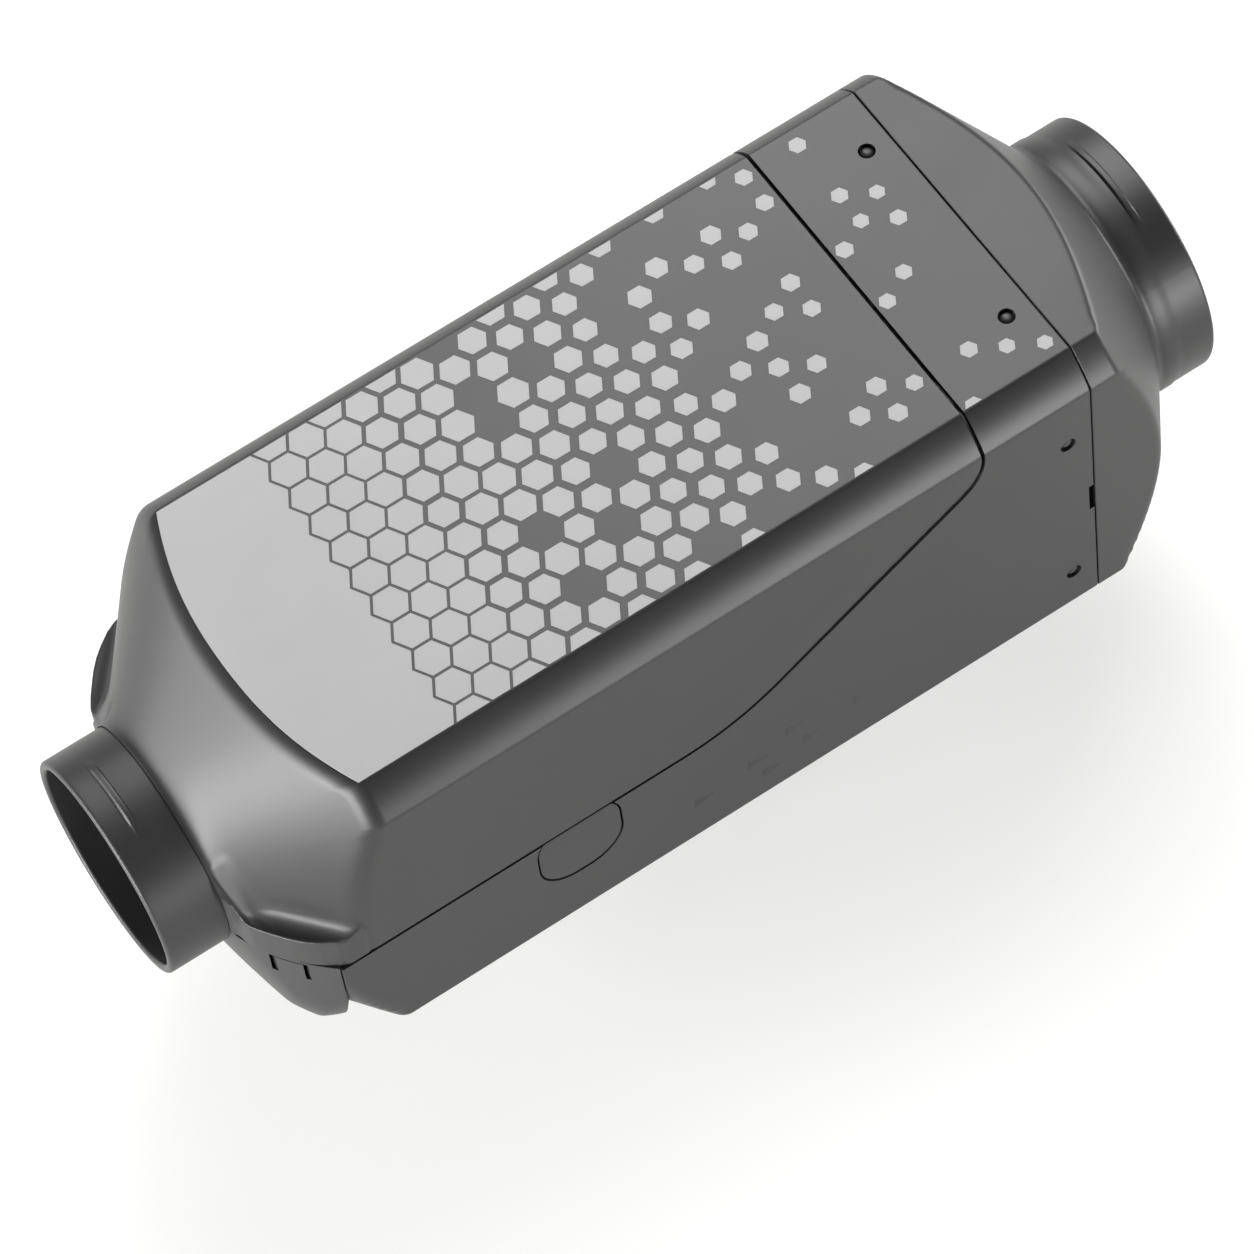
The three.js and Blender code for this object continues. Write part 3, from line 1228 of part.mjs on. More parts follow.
/** A box centred on the control unit, drawn in by an inset, between two heights. */
const ecuBox = (inset, low, high) =>
  block(
    [ECU_FRONT + inset, -ECU_WIDTH / 2 + inset, low],
    [ECU_BACK - inset, ECU_WIDTH / 2 - inset, high],
  );

function ecuCase() {
  const floor = ECU_BOTTOM + ECU_WALL;
  const holes = [-1, 1].map((side) =>
    rodZ(ECU_STATION, side * ECU_SCREW_Y, ECU_BOTTOM - OVERSHOOT, floor + OVERSHOOT, SCREW_R + FIT_GAP),
  );
  const hollow = ecuBox(ECU_WALL, floor, ECU_TOP + OVERSHOOT);
  return cut(ecuBox(0, ECU_BOTTOM, ECU_TOP), [hollow, ...holes]);
}

function ecuLid() {
  const low = ECU_TOP + FIT_GAP;
  const ribs = [-1, 0, 1].map((place) => {
    const y = (place * ECU_WIDTH) / 4;
    return block(
      [ECU_FRONT + ECU_WALL, y - ECU_WALL / 2, low],
      [ECU_BACK - ECU_WALL, y + ECU_WALL / 2, low + ECU_LID + ECU_RIB],
    );
  });
  return unite([ecuBox(0, low, low + ECU_LID), ...ribs]);
}

function ecuScrew(side) {
  const y = side * ECU_SCREW_Y;
  const seat = ECU_BOTTOM + ECU_WALL + FIT_GAP;
  const head = rodZ(ECU_STATION, y, seat, seat + SCREW_HEAD_HEIGHT, SCREW_HEAD_R);
  return head.add(rodZ(ECU_STATION, y, HOUSING_R - HOUSING_WALL / 2, seat + OVERSHOOT, SCREW_R));
}

/** The socket on the control unit's flank that takes the cable harness plug. */
function harnessConnector() {
  const back = -ECU_WIDTH / 2 - FIT_GAP;
  const front = back - CONNECTOR_DEPTH;
  const low = (ECU_BOTTOM + ECU_TOP - CONNECTOR_HEIGHT) / 2;
  const box = (inset, from, to) =>
    block(
      [ECU_STATION - CONNECTOR_LENGTH / 2 + inset, from, low + inset],
      [ECU_STATION + CONNECTOR_LENGTH / 2 - inset, to, low + CONNECTOR_HEIGHT - inset],
    );
  return box(0, front, back).subtract(box(ECU_WALL, front - OVERSHOOT, back - ECU_WALL));
}

// ---- Under the foot ----

function baseGasket() {
  const plate = roundedRectangle(FLANGE_STATION, 0, FOOT_LENGTH, FOOT_WIDTH, FOOT_CORNER);
  const low = -AXIS_HEIGHT - OVERSHOOT;
  const high = GASKET_TOP + OVERSHOOT;
  const studHoles = studPlaces().map(([x, y]) => rodZ(x, y, low, high, STUD_R + FIT_GAP));
  const stubHoles = Object.values(STUB_STATIONS).map((x) =>
    rodZ(x, 0, low, high, STUB_R + FIT_GAP, SHAFT_SIDES),
  );
  const fuelHole = rodZ(FUEL_PIPE_STATION, FUEL_PIPE_Y, low, high, FUEL_PIPE_R + FIT_GAP);
  return cut(extrudeZ(plate, -AXIS_HEIGHT, GASKET_TOP), [...studHoles, ...stubHoles, fuelHole]);
}

/** A threaded stud from its seat in the foot down to a turned-down tip. */
function mountStud([x, y]) {
  const tip = -AXIS_HEIGHT - STUD_STANDOUT;
  const shank = rodZ(x, y, tip + STUD_TIP, FOOT_BOTTOM + STUD_SEAT - FIT_GAP, STUD_R);
  return shank.add(rodZ(x, y, tip, tip + STUD_TIP + OVERSHOOT, STUD_R - STUD_TIP / 2));
}

/** A pipe stub under the foot, open right through, with a bead near its end to hold a hose. */
function pipeStub([x, y], radius, wall, standout, top, sides) {
  const low = -AXIS_HEIGHT - standout;
  const beadLow = low + BEAD_FROM_END;
  const tube = rodZ(x, y, low, top, radius, sides);
  const bead = rodZ(x, y, beadLow, beadLow + BEAD_WIDTH, radius + BEAD_RISE, sides);
  return tube.add(bead).subtract(rodZ(x, y, low - OVERSHOOT, top + OVERSHOOT, radius - wall, sides));
}

const ductStub = (station) =>
  pipeStub([station, 0], STUB_R, STUB_WALL, STUB_STANDOUT, FOOT_BOTTOM + STUB_SEAT - FIT_GAP, SHAFT_SIDES);

const fuelPipe = () =>
  pipeStub(
    [FUEL_PIPE_STATION, FUEL_PIPE_Y],
    FUEL_PIPE_R,
    FUEL_PIPE_WALL,
    FUEL_PIPE_STANDOUT,
    -EXCHANGER_BORE_R,
    SMALL_SIDES,
  );

// ---- Assembly ----

/** Every sub-part: its name, its solid and its material. */
const PIECES = [
  ["upper_shell", upperShell(), CASING],
  ["lower_shell", lowerShell(), CASING],
  ["inlet_hood", inletHood(), CASING],
  ["outlet_hood", outletHood(), HOOD_PLASTIC],
  ["cable_cap_left", cableCap(-1), CASING],
  ["cable_cap_right", cableCap(1), CASING],
  ["blower_housing", blowerHousing(), CAST_ALUMINIUM],
  ["blower_cover", blowerCover(), CAST_ALUMINIUM],
  ["blower_gasket", flangeGasket(BLOWER_GASKET_FRONT, COVER_OUTLET_R), GASKET_GREY],
  ["motor_can", motorCan(), DARK_STEEL],
  ["front_bearing", bearing(MOTOR_FRONT), STEEL],
  ["rear_bearing", bearing(MOTOR_BACK - BEARING_WIDTH), STEEL],
  ["motor_shaft", motorShaft(), STEEL],
  ["motor_rotor", motorRotor(), DARK_STEEL],
  ["fan_impeller", fanImpeller(), BLACK_PLASTIC],
  ["fan_clip", fanClip(), BLACK_PLASTIC],
  ["combustion_impeller", combustionImpeller(), CAST_ALUMINIUM],
  ["speed_magnet", speedMagnet(), MAGNET],
  ...LUG_ANGLES.map((angle, i) => [`blower_screw_${i + 1}`, blowerScrew(angle), STEEL]),
  ["burner", burner(), DARK_STEEL],
  ["burner_gasket", flangeGasket(BURNER_GASKET_FRONT, FLAME_TUBE_R + FIT_GAP), GASKET_GREY],
  ["heat_exchanger", heatExchanger(), CAST_ALUMINIUM],
  ["glow_plug", glowPlug(), STEEL],
  ["glow_screen", glowScreen(), DARK_STEEL],
  ["overheat_sensor", overheatSensor(), BRASS],
  ["sensor_clip", sensorClip(), STEEL],
  ["ecu_case", ecuCase(), BLACK_PLASTIC],
  ["ecu_lid", ecuLid(), CAST_ALUMINIUM],
  ["harness_connector", harnessConnector(), BLACK_PLASTIC],
  ["ecu_screw_1", ecuScrew(-1), STEEL],
  ["ecu_screw_2", ecuScrew(1), STEEL],
  ["base_gasket", baseGasket(), GASKET_GREY],
  ...studPlaces().map((place, i) => [`mount_stud_${i + 1}`, mountStud(place), STEEL]),
  ["exhaust_stub", ductStub(STUB_STATIONS.exhaust), DARK_STEEL],
  ["air_stub", ductStub(STUB_STATIONS.air), STEEL],
  ["fuel_pipe", fuelPipe(), STEEL],
];

const heater = new THREE.Group();
heater.position.set(-FLANGE_STATION, 0, AXIS_HEIGHT);
for (const [name, body, material] of PIECES) {
  const mesh = new THREE.Mesh(geometryOf(body), material);
  mesh.name = name;
  heater.add(mesh);
}

export default heater;
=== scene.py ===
"""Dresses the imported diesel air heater: casing, hoods, printed field, fittings and a plain studio."""
import json
import math

import bmesh
import bpy
import numpy as np
from bpy.props import FloatProperty, FloatVectorProperty, IntProperty, PointerProperty, StringProperty
from mathutils import Matrix, Vector


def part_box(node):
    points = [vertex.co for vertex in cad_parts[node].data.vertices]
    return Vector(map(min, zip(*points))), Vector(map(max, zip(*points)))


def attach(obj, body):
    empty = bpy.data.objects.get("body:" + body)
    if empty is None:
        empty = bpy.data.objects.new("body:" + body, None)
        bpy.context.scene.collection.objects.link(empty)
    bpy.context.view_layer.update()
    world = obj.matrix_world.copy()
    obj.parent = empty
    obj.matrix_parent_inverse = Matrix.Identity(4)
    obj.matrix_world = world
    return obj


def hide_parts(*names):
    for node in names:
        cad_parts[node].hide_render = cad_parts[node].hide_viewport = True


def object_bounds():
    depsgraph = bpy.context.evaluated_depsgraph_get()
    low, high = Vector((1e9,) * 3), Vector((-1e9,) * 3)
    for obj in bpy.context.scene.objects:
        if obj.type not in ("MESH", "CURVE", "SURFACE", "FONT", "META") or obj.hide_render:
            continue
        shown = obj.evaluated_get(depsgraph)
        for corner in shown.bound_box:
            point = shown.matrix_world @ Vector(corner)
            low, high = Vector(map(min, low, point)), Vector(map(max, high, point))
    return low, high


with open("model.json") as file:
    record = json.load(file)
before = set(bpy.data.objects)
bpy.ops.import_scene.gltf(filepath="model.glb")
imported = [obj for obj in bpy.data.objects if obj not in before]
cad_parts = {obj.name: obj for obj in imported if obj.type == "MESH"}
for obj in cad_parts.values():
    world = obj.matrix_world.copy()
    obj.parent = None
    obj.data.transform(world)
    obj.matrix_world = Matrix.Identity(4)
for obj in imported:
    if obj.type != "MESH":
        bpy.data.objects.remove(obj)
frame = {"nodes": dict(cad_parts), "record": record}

bl_info = {
    "name": "Diesel air heater dressing",
    "version": (1, 0, 0),
    "blender": (4, 5, 0),
    "location": "View3D > Sidebar > Heater",
    "description": "Builds the moulded casing, hoods, print and finishes round the packed heater",
    "category": "Object",
}

CAD_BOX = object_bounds()

# ---- The heater's own frame: millimetres from the inlet rim and from the duct axis ----
MM = 0.001
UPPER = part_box("upper_shell")
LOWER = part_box("lower_shell")
ORIGIN_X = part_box("inlet_hood")[0].x
ORIGIN_Z = (UPPER[1].z + LOWER[0].z) / 2
HALF_WIDTH = UPPER[1].y / MM
HALF_HEIGHT = (UPPER[1].z - ORIGIN_Z) / MM
SEAM = 0.5
CREASE = (UPPER[0].x - ORIGIN_X) / MM
RING_LINE = (UPPER[1].x - ORIGIN_X) / MM + SEAM / 2
LOWER_FRONT = (LOWER[0].x - ORIGIN_X) / MM
HOOD_LINE = (LOWER[1].x - ORIGIN_X) / MM + SEAM / 2
OUTLET_RIM = (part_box("outlet_hood")[1].x - ORIGIN_X) / MM

# ---- Casing section ----
BEVEL_WIDTH = 10.3
BEVEL_HEIGHT = 11.3
BEVEL_CROWN = 0.8
WALL = 2.4
LEAST_WALL = 0.3
LIP = 0.25

# ---- Flares. Inlet: radius at its root, slope at a face and at a corner, round at its root ----
INLET_FLARE = (38.2, 1.184, 1.376, 4.0)
# Outlet and lower shell: radius where it starts, and slope
OUTLET_FLARE = (46.2, 1.47)
LOWER_FLARE = (71.2, 1.12)
FLARE_END = 62.0
HOOD_SHOULDER = 326.5
NECK = 359.5
NECK_ROUND = 1.2

# ---- Nozzles ----
INLET_R = 37.5
OUTLET_R = 45.0
NOZZLE_WALL = 3.0
RIM_ROUND = 1.3
# The crescent ridge is an eccentric disc: how far off its middle lies, and how far it stands out
RIDGE_OFFSET = 9.0
RIDGE_RISE = 1.1
RIDGE_FROM_RIM = 9.5
RIDGE_FLANKS = (0.66, 1.43)
# A raised band behind the outlet ridge: height, and stations of its two flanks after the neck
BAND_RISE = 0.35
BAND_START = (3.2, 3.8)
BAND_END = (9.0, 9.6)
# Inlet funnel: station, outer radius, bore radius
FUNNEL = ((28.2, 37.5, 34.5), (40.2, 46.1, 43.5), (66.2, 46.1, 43.5))
TUBE_INTO_FUNNEL = 4.0
TUBE_FRONT = 16.0
RIM_STEPS = 7

# ---- Skirt and bowl at the inlet end: station and half width of the skirt in plan ----
SKIRT_PLAN = ((21.2, 38.0), (22.6, 40.0), (23.4, 43.6), (24.4, 46.7), (26.5, 50.2), (29.2, 53.9),
              (31.9, 57.5), (35.1, 61.0), (38.1, 63.6), (42.7, 66.7), (47.5, 68.0), (60.0, 68.0))
SKIRT_RISE = 7.0
SKIRT_DROP = 21.0
SKIRT_FADE = (51.0, 57.0)
# The web that fills the corner between nozzle and ledge: its slant, its distance, its round, its height
WEB = (0.755, 0.656, 37.9)
WEB_ROUND = 2.0
WEB_TOP = 22.0
VALLEY_RUN = 6.0
LEAST_ROUND = 0.05
# Bowl: station and half width as a curve, then station and corner radius of its rounded section
BOWL_CURVE = ((21.2, 37.2), (26.7, 53.7), (41.5, 67.1))
BOWL_CORNER = ((21.2, 37.2), (26.0, 31.0), (30.0, 23.0), (35.5, 27.0), (41.5, 42.0))
BOWL_WALL = 2.2
BOWL_STEPS = (40, 129)
PARTING_Z = -7.5
PARTING_GAP = 1.3
BOWL_TOP = PARTING_Z - SEAM / 2
# Snap tabs: stations of the two slots, their width and height, then height and depth of the line over them
SLOT_STATIONS = (27.5, 34.0)
SLOT_SIZE = (1.2, 10.5)
SLOT_REACH = (38.0, 75.0)
TAB_LINE = (0.45, 0.9)
HAIR = 0.01

# ---- Parting line ----
DIAGONAL_RUN = 95.0
DIAGONAL_TOP = 46.6
TOE_ROUND = 20.0
HEAD_ROUND = 10.0
PARTING_STEPS = 14
# A shallow facet along the diagonal: its width, its depth, where it fades in along and up the side
FACET_BAND = 9.0
FACET_SINK = 0.45
FACET_FADE = (175.0, 240.0)
FACET_EDGE = (4.0, 1.0)
# Far ends of the cutting shapes, clear of the heater
CUT_START = -60.0
CUT_END = 460.0
CUT_HIGH = 120.0
CUT_SIDE = 90.0
CUT_INNER = 40.0
# How far a cut starts off the surface that it goes into
CUT_CLEAR = 1.0

# ---- Ring: snap pegs and pry slots ----
PEG_FROM_HOOD = 9.0
PEG_R = 2.3
PEG_HOLE_R = 2.8
PEG_HOLE_DEPTH = 6.0
PEG_SUNK = 0.35
PEG_CROWN = 1.3
PEG_LENGTH = 4.0
PEG_SIDES = 32
HOLE_SIDES = 40
DOME_TURN = 1.56
DOME_STEPS = 12
TOP_PEG_Y = 37.3
SIDE_PEG_Z = (35.0, -41.0)
# Width, height and middle height of the slot for a lever
PRY_SLOT = (2.2, 13.2, -3.0)

# ---- Cable caps and side marks ----
CAP_MIDDLE = (126.9, -19.0)
CAP_SIZE = (29.4, 32.4)
CAP_CORNER = 12.6
CAP_GAP = 0.7
CAP_THICK = 2.2
# How far the cap lies below the case face at its crown and near its edge, then the turn at the edge
CAP_SUNK = (0.05, 0.15)
CAP_TURN = 0.1
CAP_EDGE = (0.95, 1.0)
CAP_FULLNESS = 2.6
CAP_STEPS = 14
# Length, height and depth of a mark, then station and height of each
MARK_SIZE = (9.2, 4.8, 2.2)
MARK_PLACES = ((167.0, -38.8), (187.1, -36.2), (191.9, -45.8),
               (201.6, -29.8), (207.4, -40.0), (226.8, -36.8))
# Edges sharper than this, in degrees, stay crisp on the shell with the marks
MARK_SHARP = 20.0

# ---- Foot opening in the floor of the lower shell: middle, length, width, corner ----
FOOT_OPENING = (205.0, 131.2, 93.2, 8.6)

# ---- Printed field ----
INK_TOP = 0.04
INK_DEPTH = 0.15
INK_MARGIN = 2.4
INK_EDGE = 0.6
# Share of shapes left out at the outlet end, and how much smaller they get, each with where it sets in
THINNING = (0.58, 0.12, 0.9)
SHRINKING = (0.5, 0.1, 0.95)
# From this share of the way on, sizes vary by up to this share
WOBBLE = (0.15, 0.12)
HOOD_CLEAR = 1.5
RING_CLEAR = 1.2
PEG_CLEAR = 8.0
PRINT_COLUMNS = 8
FIELD_STEPS = 96

# ---- How finely the forms are traced ----
RADIUS_RANGE = (15.0, 125.0)
RADIUS_HALVINGS = 34
# Distances from an edge, in millimetres, at which an extra line of points follows it
EDGE_LINES = (0.1, 0.25, 0.45, 0.8, 1.5)
FLANK_POINTS = 16
BEVEL_POINTS = 9
TOP_POINTS = 22
# Round the ledge, in steps of LEDGE_TIGHT: how far before it, past it and over the hollow
LEDGE_TIGHT = 0.5
LEDGE_BEFORE = 3
LEDGE_PAST = 1.4
LEDGE_HOLLOW = 14
LEDGE_POINTS = (6, 10, 10, 14, 14)
LEAST_TURN = 0.02
LEDGE_ROWS = (21.6, 22.0, 22.4, 22.8, 23.1, 23.4, 23.7, 24.0, 24.4, 24.8, 25.2, 25.7, 26.2)
SKIRT_ROWS = (26.8, FLARE_END + 5, 0.6)
UPPER_MIDDLE_ROWS = (72, 80, 110)
UPPER_REAR_ROWS = (140, 281, 7.0)
LOWER_FLARE_ROWS = (43, FLARE_END, 0.8)
LOWER_REAR_ROWS = (66, 110, 200, 270)
HOOD_STEP = 0.5
TUBE_STEP = 1.5
RIDGE_STEP = 0.3
RIDGE_REACH = 2.0
INLET_END_ROWS = (5.0, 3.0)
OUTLET_END_ROWS = (6.0, 3.0)
TUBE_SIDES = 180
# A ring this small closes an end round its middle
CENTRE = 0.02
CAP_SHARES = (CENTRE, *np.linspace(0.15, 0.94, 12), 0.97, 0.99, 1.0)

# ---- Studio, in metres and degrees ----
FLOOR_HALF = 6
FLOOR_GAP = 0.0005
WORLD_STOPS = ((0.0, 1.0), (0.04, 1.0), (0.1, 0.05), (1.0, 0.05))
SENSOR = 36
LAMP_DISTANCE = 1.6
# Name, azimuth, elevation, width, height, which light's strength it takes, and its share of that
LAMPS = (
    ("key_softbox", 48, 57, 1.1, 0.8, "key_light", 1.0),
    ("back_softbox", 68, 38, 0.9, 0.5, "key_light", 1.0),
    ("end_strip", -170, 3, 1.4, 0.26, "end_light", 1.0),
    ("end_far_strip", 150, 5, 0.56, 0.28, "end_light", 0.3),
    ("end_high_strip", 167, 19, 1.0, 0.3, "end_light", 0.35),
    ("front_strip", -70, 5, 0.6, 0.28, "front_light", 1.0),
    ("outlet_strip", 0, 5, 0.9, 0.28, "outlet_light", 1.0),
)


# ---- Small maths ----

def soft_max(a, b, width):
    near = np.maximum(width - np.abs(a - b), 0) / width
    return np.maximum(a, b) + near * near * width / 4


def soft_min(a, b, width):
    return -soft_max(-a, -b, width)


def smooth(a, b, value):
    t = np.clip((value - a) / (b - a), 0, 1)
    return t * t * (3 - 2 * t)


def bezier(points, t):
    a, b, c = (np.array(p) for p in points)
    t = t[:, None]
    return (1 - t) ** 2 * a + 2 * t * (1 - t) * b + t * t * c


def ahead_of(line):
    """The unit direction along a line of points, at each of them."""
    ahead = np.gradient(line, axis=0)
    return ahead / np.hypot(ahead[:, 0], ahead[:, 1])[:, None]


# ---- Forms: how far a point is outside the surface, in millimetres ----

def section_form(y, z, edge):
    """The bevelled section of the casing, with its crowned bevels."""
    a, b = np.abs(y), np.abs(z)
    length = math.hypot(BEVEL_WIDTH, BEVEL_HEIGHT)
    ny, nz = BEVEL_HEIGHT / length, BEVEL_WIDTH / length
    middle_y, middle_z = HALF_WIDTH - BEVEL_WIDTH / 2, HALF_HEIGHT - BEVEL_HEIGHT / 2
    along = ((a - middle_y) * nz - (b - middle_z) * ny) / (length / 2)
    bevel = (a - middle_y) * ny + (b - middle_z) * nz - BEVEL_CROWN * np.maximum(1 - along * along, 0)
    return soft_max(soft_max(a - HALF_WIDTH, bevel, edge), b - HALF_HEIGHT, edge)


def flare_form(radius, slope, y, z):
    return (np.hypot(y, z) - radius) / np.hypot(1, slope)


def inlet_flare(x, angle):
    """Radius and slope of the inlet flare, which is fuller towards the corners of the case."""
    start, face, corner, root = INLET_FLARE
    slope = face + (corner - face) * np.sin(2 * angle) ** 2
    t = x - CREASE
    run = np.hypot(t, root)
    return start + slope * (run - root), slope * t / run


def parting_height(x):
    """The parting line's height at a station, without its head round."""
    slope = (DIAGONAL_TOP - PARTING_Z) / DIAGONAL_RUN
    ramp = PARTING_Z + slope * (x - RING_LINE + DIAGONAL_RUN)
    return soft_max(np.full_like(x, PARTING_Z), ramp, slope * TOE_ROUND)


def upper_form(x, y, z):
    sizes = bpy.context.scene.heater_sizes
    edge = sizes.case_edge / MM
    radius, slope = inlet_flare(x, np.arctan2(z, y))
    case = section_form(y, z, edge)
    band = 1 - smooth(0, FACET_BAND, z - parting_height(x))
    near_side = smooth(HALF_WIDTH - FACET_EDGE[0], HALF_WIDTH - FACET_EDGE[1], np.abs(y))
    case = case + FACET_SINK * band * smooth(*FACET_FADE, x) * near_side
    body = soft_max(case, flare_form(radius, slope, y, z), sizes.flare_edge / MM)
    plan = np.interp(x, *zip(*SKIRT_PLAN))
    web = np.abs(y) * WEB[0] + z * WEB[1] - WEB[2]
    ledge = soft_min(z - SKIRT_RISE, np.maximum(web, z - WEB_TOP), WEB_ROUND)
    skirt = soft_max(np.abs(y) - plan, ledge, sizes.ledge_edge / MM)
    skirt = np.maximum(skirt, -SKIRT_DROP - z) + FLARE_END * smooth(*SKIRT_FADE, x)
    valley = LEAST_ROUND + sizes.valley / MM * smooth(CREASE, CREASE + VALLEY_RUN, x)
    return soft_max(soft_min(body, skirt, valley), case, edge / 2)


def lower_form(x, y, z):
    start, slope = LOWER_FLARE
    cone = flare_form(start + slope * (x - LOWER_FRONT), slope, y, z)
    sizes = bpy.context.scene.heater_sizes
    return soft_max(section_form(y, z, sizes.case_edge / MM), cone, sizes.flare_edge / MM / 2)


def outlet_form(x, y, z):
    sizes = bpy.context.scene.heater_sizes
    start, slope = OUTLET_FLARE
    case = section_form(y, z, sizes.case_edge / MM)
    cone = flare_form(start + slope * (NECK - x), slope, y, z)
    body = soft_max(case, cone, sizes.hood_edge / MM)
    return soft_min(body, np.hypot(y, z) - OUTLET_R, NECK_ROUND)


def radius_where(form, x, angles, level=0.0):
    """The radius at which a form reaches a level, for each station and angle."""
    low, high = (np.full(angles.shape, limit) for limit in RADIUS_RANGE)
    across, up = np.cos(angles), np.sin(angles)
    for _ in range(RADIUS_HALVINGS):
        middle = (low + high) / 2
        outside = form(x, middle * across, middle * up) > level
        low, high = np.where(outside, low, middle), np.where(outside, middle, high)
    return low


def spread(start, end, count):
    """Evenly spaced angles at each station, from one column of angles to another."""
    return start + (end - start) * np.linspace(0, 1, count)[None, :]


def case_angles(rows, ledge=None):
    """Angles for one full turn at each station, close together at every edge of the section."""
    side = math.atan2(HALF_HEIGHT - BEVEL_HEIGHT, HALF_WIDTH)
    top = math.atan2(HALF_HEIGHT, HALF_WIDTH - BEVEL_WIDTH)
    reach = math.hypot(HALF_WIDTH, HALF_HEIGHT)
    near = np.array(EDGE_LINES) / reach
    edge = np.concatenate([-near[::-1], [0], near])
    bevel = np.linspace(side + near[-1], top - near[-1], BEVEL_POINTS)[1:-1]
    over = np.linspace(top + near[-1], math.pi / 2, TOP_POINTS)[1:]
    tail = np.tile(np.concatenate([side + edge, bevel, top + edge, over]), (rows, 1))
    flank = np.tile(np.linspace(0, side - near[-1], FLANK_POINTS)[:-1], (rows, 1))
    plain = np.concatenate([flank, tail], axis=1)
    upper = plain
    if ledge is not None:
        start, end = ledge[:, :1], ledge[:, 1:]
        tight = LEDGE_TIGHT / reach
        before, hollow_end = start - LEDGE_BEFORE * tight, end + LEDGE_HOLLOW * tight
        counts = LEDGE_POINTS
        upper = np.concatenate([
            spread(0 * start, before, counts[0])[:, :-1],
            spread(before, start + tight, counts[1]),
            spread(start + LEDGE_PAST * tight, end, counts[2]),
            spread(end, hollow_end, counts[3])[:, 1:-1],
            spread(hollow_end, side - near[-1], counts[4])[:, :-1],
            tail], axis=1)
    right = np.concatenate([-plain[:, :0:-1], upper], axis=1)
    left = math.pi - right[:, ::-1]
    return np.concatenate([right, left[:, 1:-1]], axis=1)


# ---- Mesh building ----

def around(x, radius, angles):
    x = np.broadcast_to(x, angles.shape)
    return np.stack([x, radius * np.cos(angles), radius * np.sin(angles)], axis=-1)


def ring_faces(rows, columns, close_rows=False):
    """Quads over a grid whose columns join round, and whose rows may join round too."""
    last = rows if close_rows else rows - 1
    i, j = np.meshgrid(np.arange(last), np.arange(columns), indexing="ij")
    k, n = (i + 1) % rows, (j + 1) % columns
    quads = np.stack([i * columns + j, i * columns + n, k * columns + n, k * columns + j], axis=-1)
    return quads.reshape(-1, 4).tolist()


def tube_solid(outer, inner):
    """A closed wall from an outer and an inner set of rings."""
    rings = np.concatenate([outer, inner[::-1]])
    return rings.reshape(-1, 3), ring_faces(len(rings), rings.shape[1], True)


def sheet_solid(outer, inner):
    """A closed wall from an outer and an inner open sheet."""
    loops = np.concatenate([outer, inner[:, ::-1]], axis=1)
    rows, columns = loops.shape[:2]
    faces = ring_faces(rows, columns)
    half = columns // 2
    for base in (0, (rows - 1) * columns):
        for j in range(half - 1):
            faces.append([base + j, base + j + 1, base + columns - 2 - j, base + columns - 1 - j])
    return loops.reshape(-1, 3), faces


def lofted(rings):
    """A closed solid over a stack of rings, with a flat face over its first and its last one."""
    rings = np.asarray(rings)
    count = rings.shape[1]
    faces = ring_faces(len(rings), count)
    faces += [list(range(count)), list(range((len(rings) - 1) * count, len(rings) * count))]
    return rings.reshape(-1, 3), faces


def prism(outline, low, high, axis):
    """An outline in the two other axes, carried along one axis between two places."""
    count = len(outline)
    points = []
    for place in (low, high):
        for u, v in outline:
            points.append({"x": (place, u, v), "y": (u, place, v), "z": (u, v, place)}[axis])
    faces = [list(range(count)), list(range(count, 2 * count))]
    faces += [[i, (i + 1) % count, count + (i + 1) % count, count + i] for i in range(count)]
    return np.array(points), faces


def joined(parts):
    points, faces, start = [], [], 0
    for part_points, part_faces in parts:
        points.append(np.asarray(part_points, float))
        faces += [[start + i for i in face] for face in part_faces]
        start += len(part_points)
    return np.concatenate(points), faces


def round_rectangle(middle, size, corner, steps=12):
    outline = []
    for turn, (sx, sy) in enumerate(((1, 1), (-1, 1), (-1, -1), (1, -1))):
        for step in range(steps + 1):
            angle = math.pi / 2 * (turn + step / steps)
            outline.append((middle[0] + sx * (size[0] / 2 - corner) + corner * math.cos(angle),
                            middle[1] + sy * (size[1] / 2 - corner) + corner * math.sin(angle)))
    return outline


def box_outline(left, right, low, high):
    return [(left, low), (right, low), (right, high), (left, high)]


def solid_object(name, shape):
    points, faces = shape
    points = np.asarray(points, float) * MM + np.array([ORIGIN_X, 0, ORIGIN_Z])
    mesh = bpy.data.meshes.new(name)
    mesh.from_pydata(points.tolist(), [], faces)
    work = bmesh.new()
    work.from_mesh(mesh)
    bmesh.ops.recalc_face_normals(work, faces=work.faces)
    work.to_mesh(mesh)
    work.free()
    made = bpy.data.objects.new(name, mesh)
    bpy.context.scene.collection.objects.link(made)
    return made


def carve(made, shape, operation="DIFFERENCE"):
    """Cuts, joins or keeps the common part of an object and a shape."""
    tool = solid_object("tool", shape)
    step = made.modifiers.new("carve", "BOOLEAN")
    step.object = tool
    step.operation = operation
    step.solver = "EXACT"
    graph = bpy.context.evaluated_depsgraph_get()
    mesh = bpy.data.meshes.new_from_object(made.evaluated_get(graph))
    made.modifiers.clear()
    if not len(mesh.polygons):
        raise RuntimeError(f"{made.name} has nothing left after a cut")
    old, made.data = made.data, mesh
    bpy.data.meshes.remove(old)
    bpy.data.objects.remove(tool)


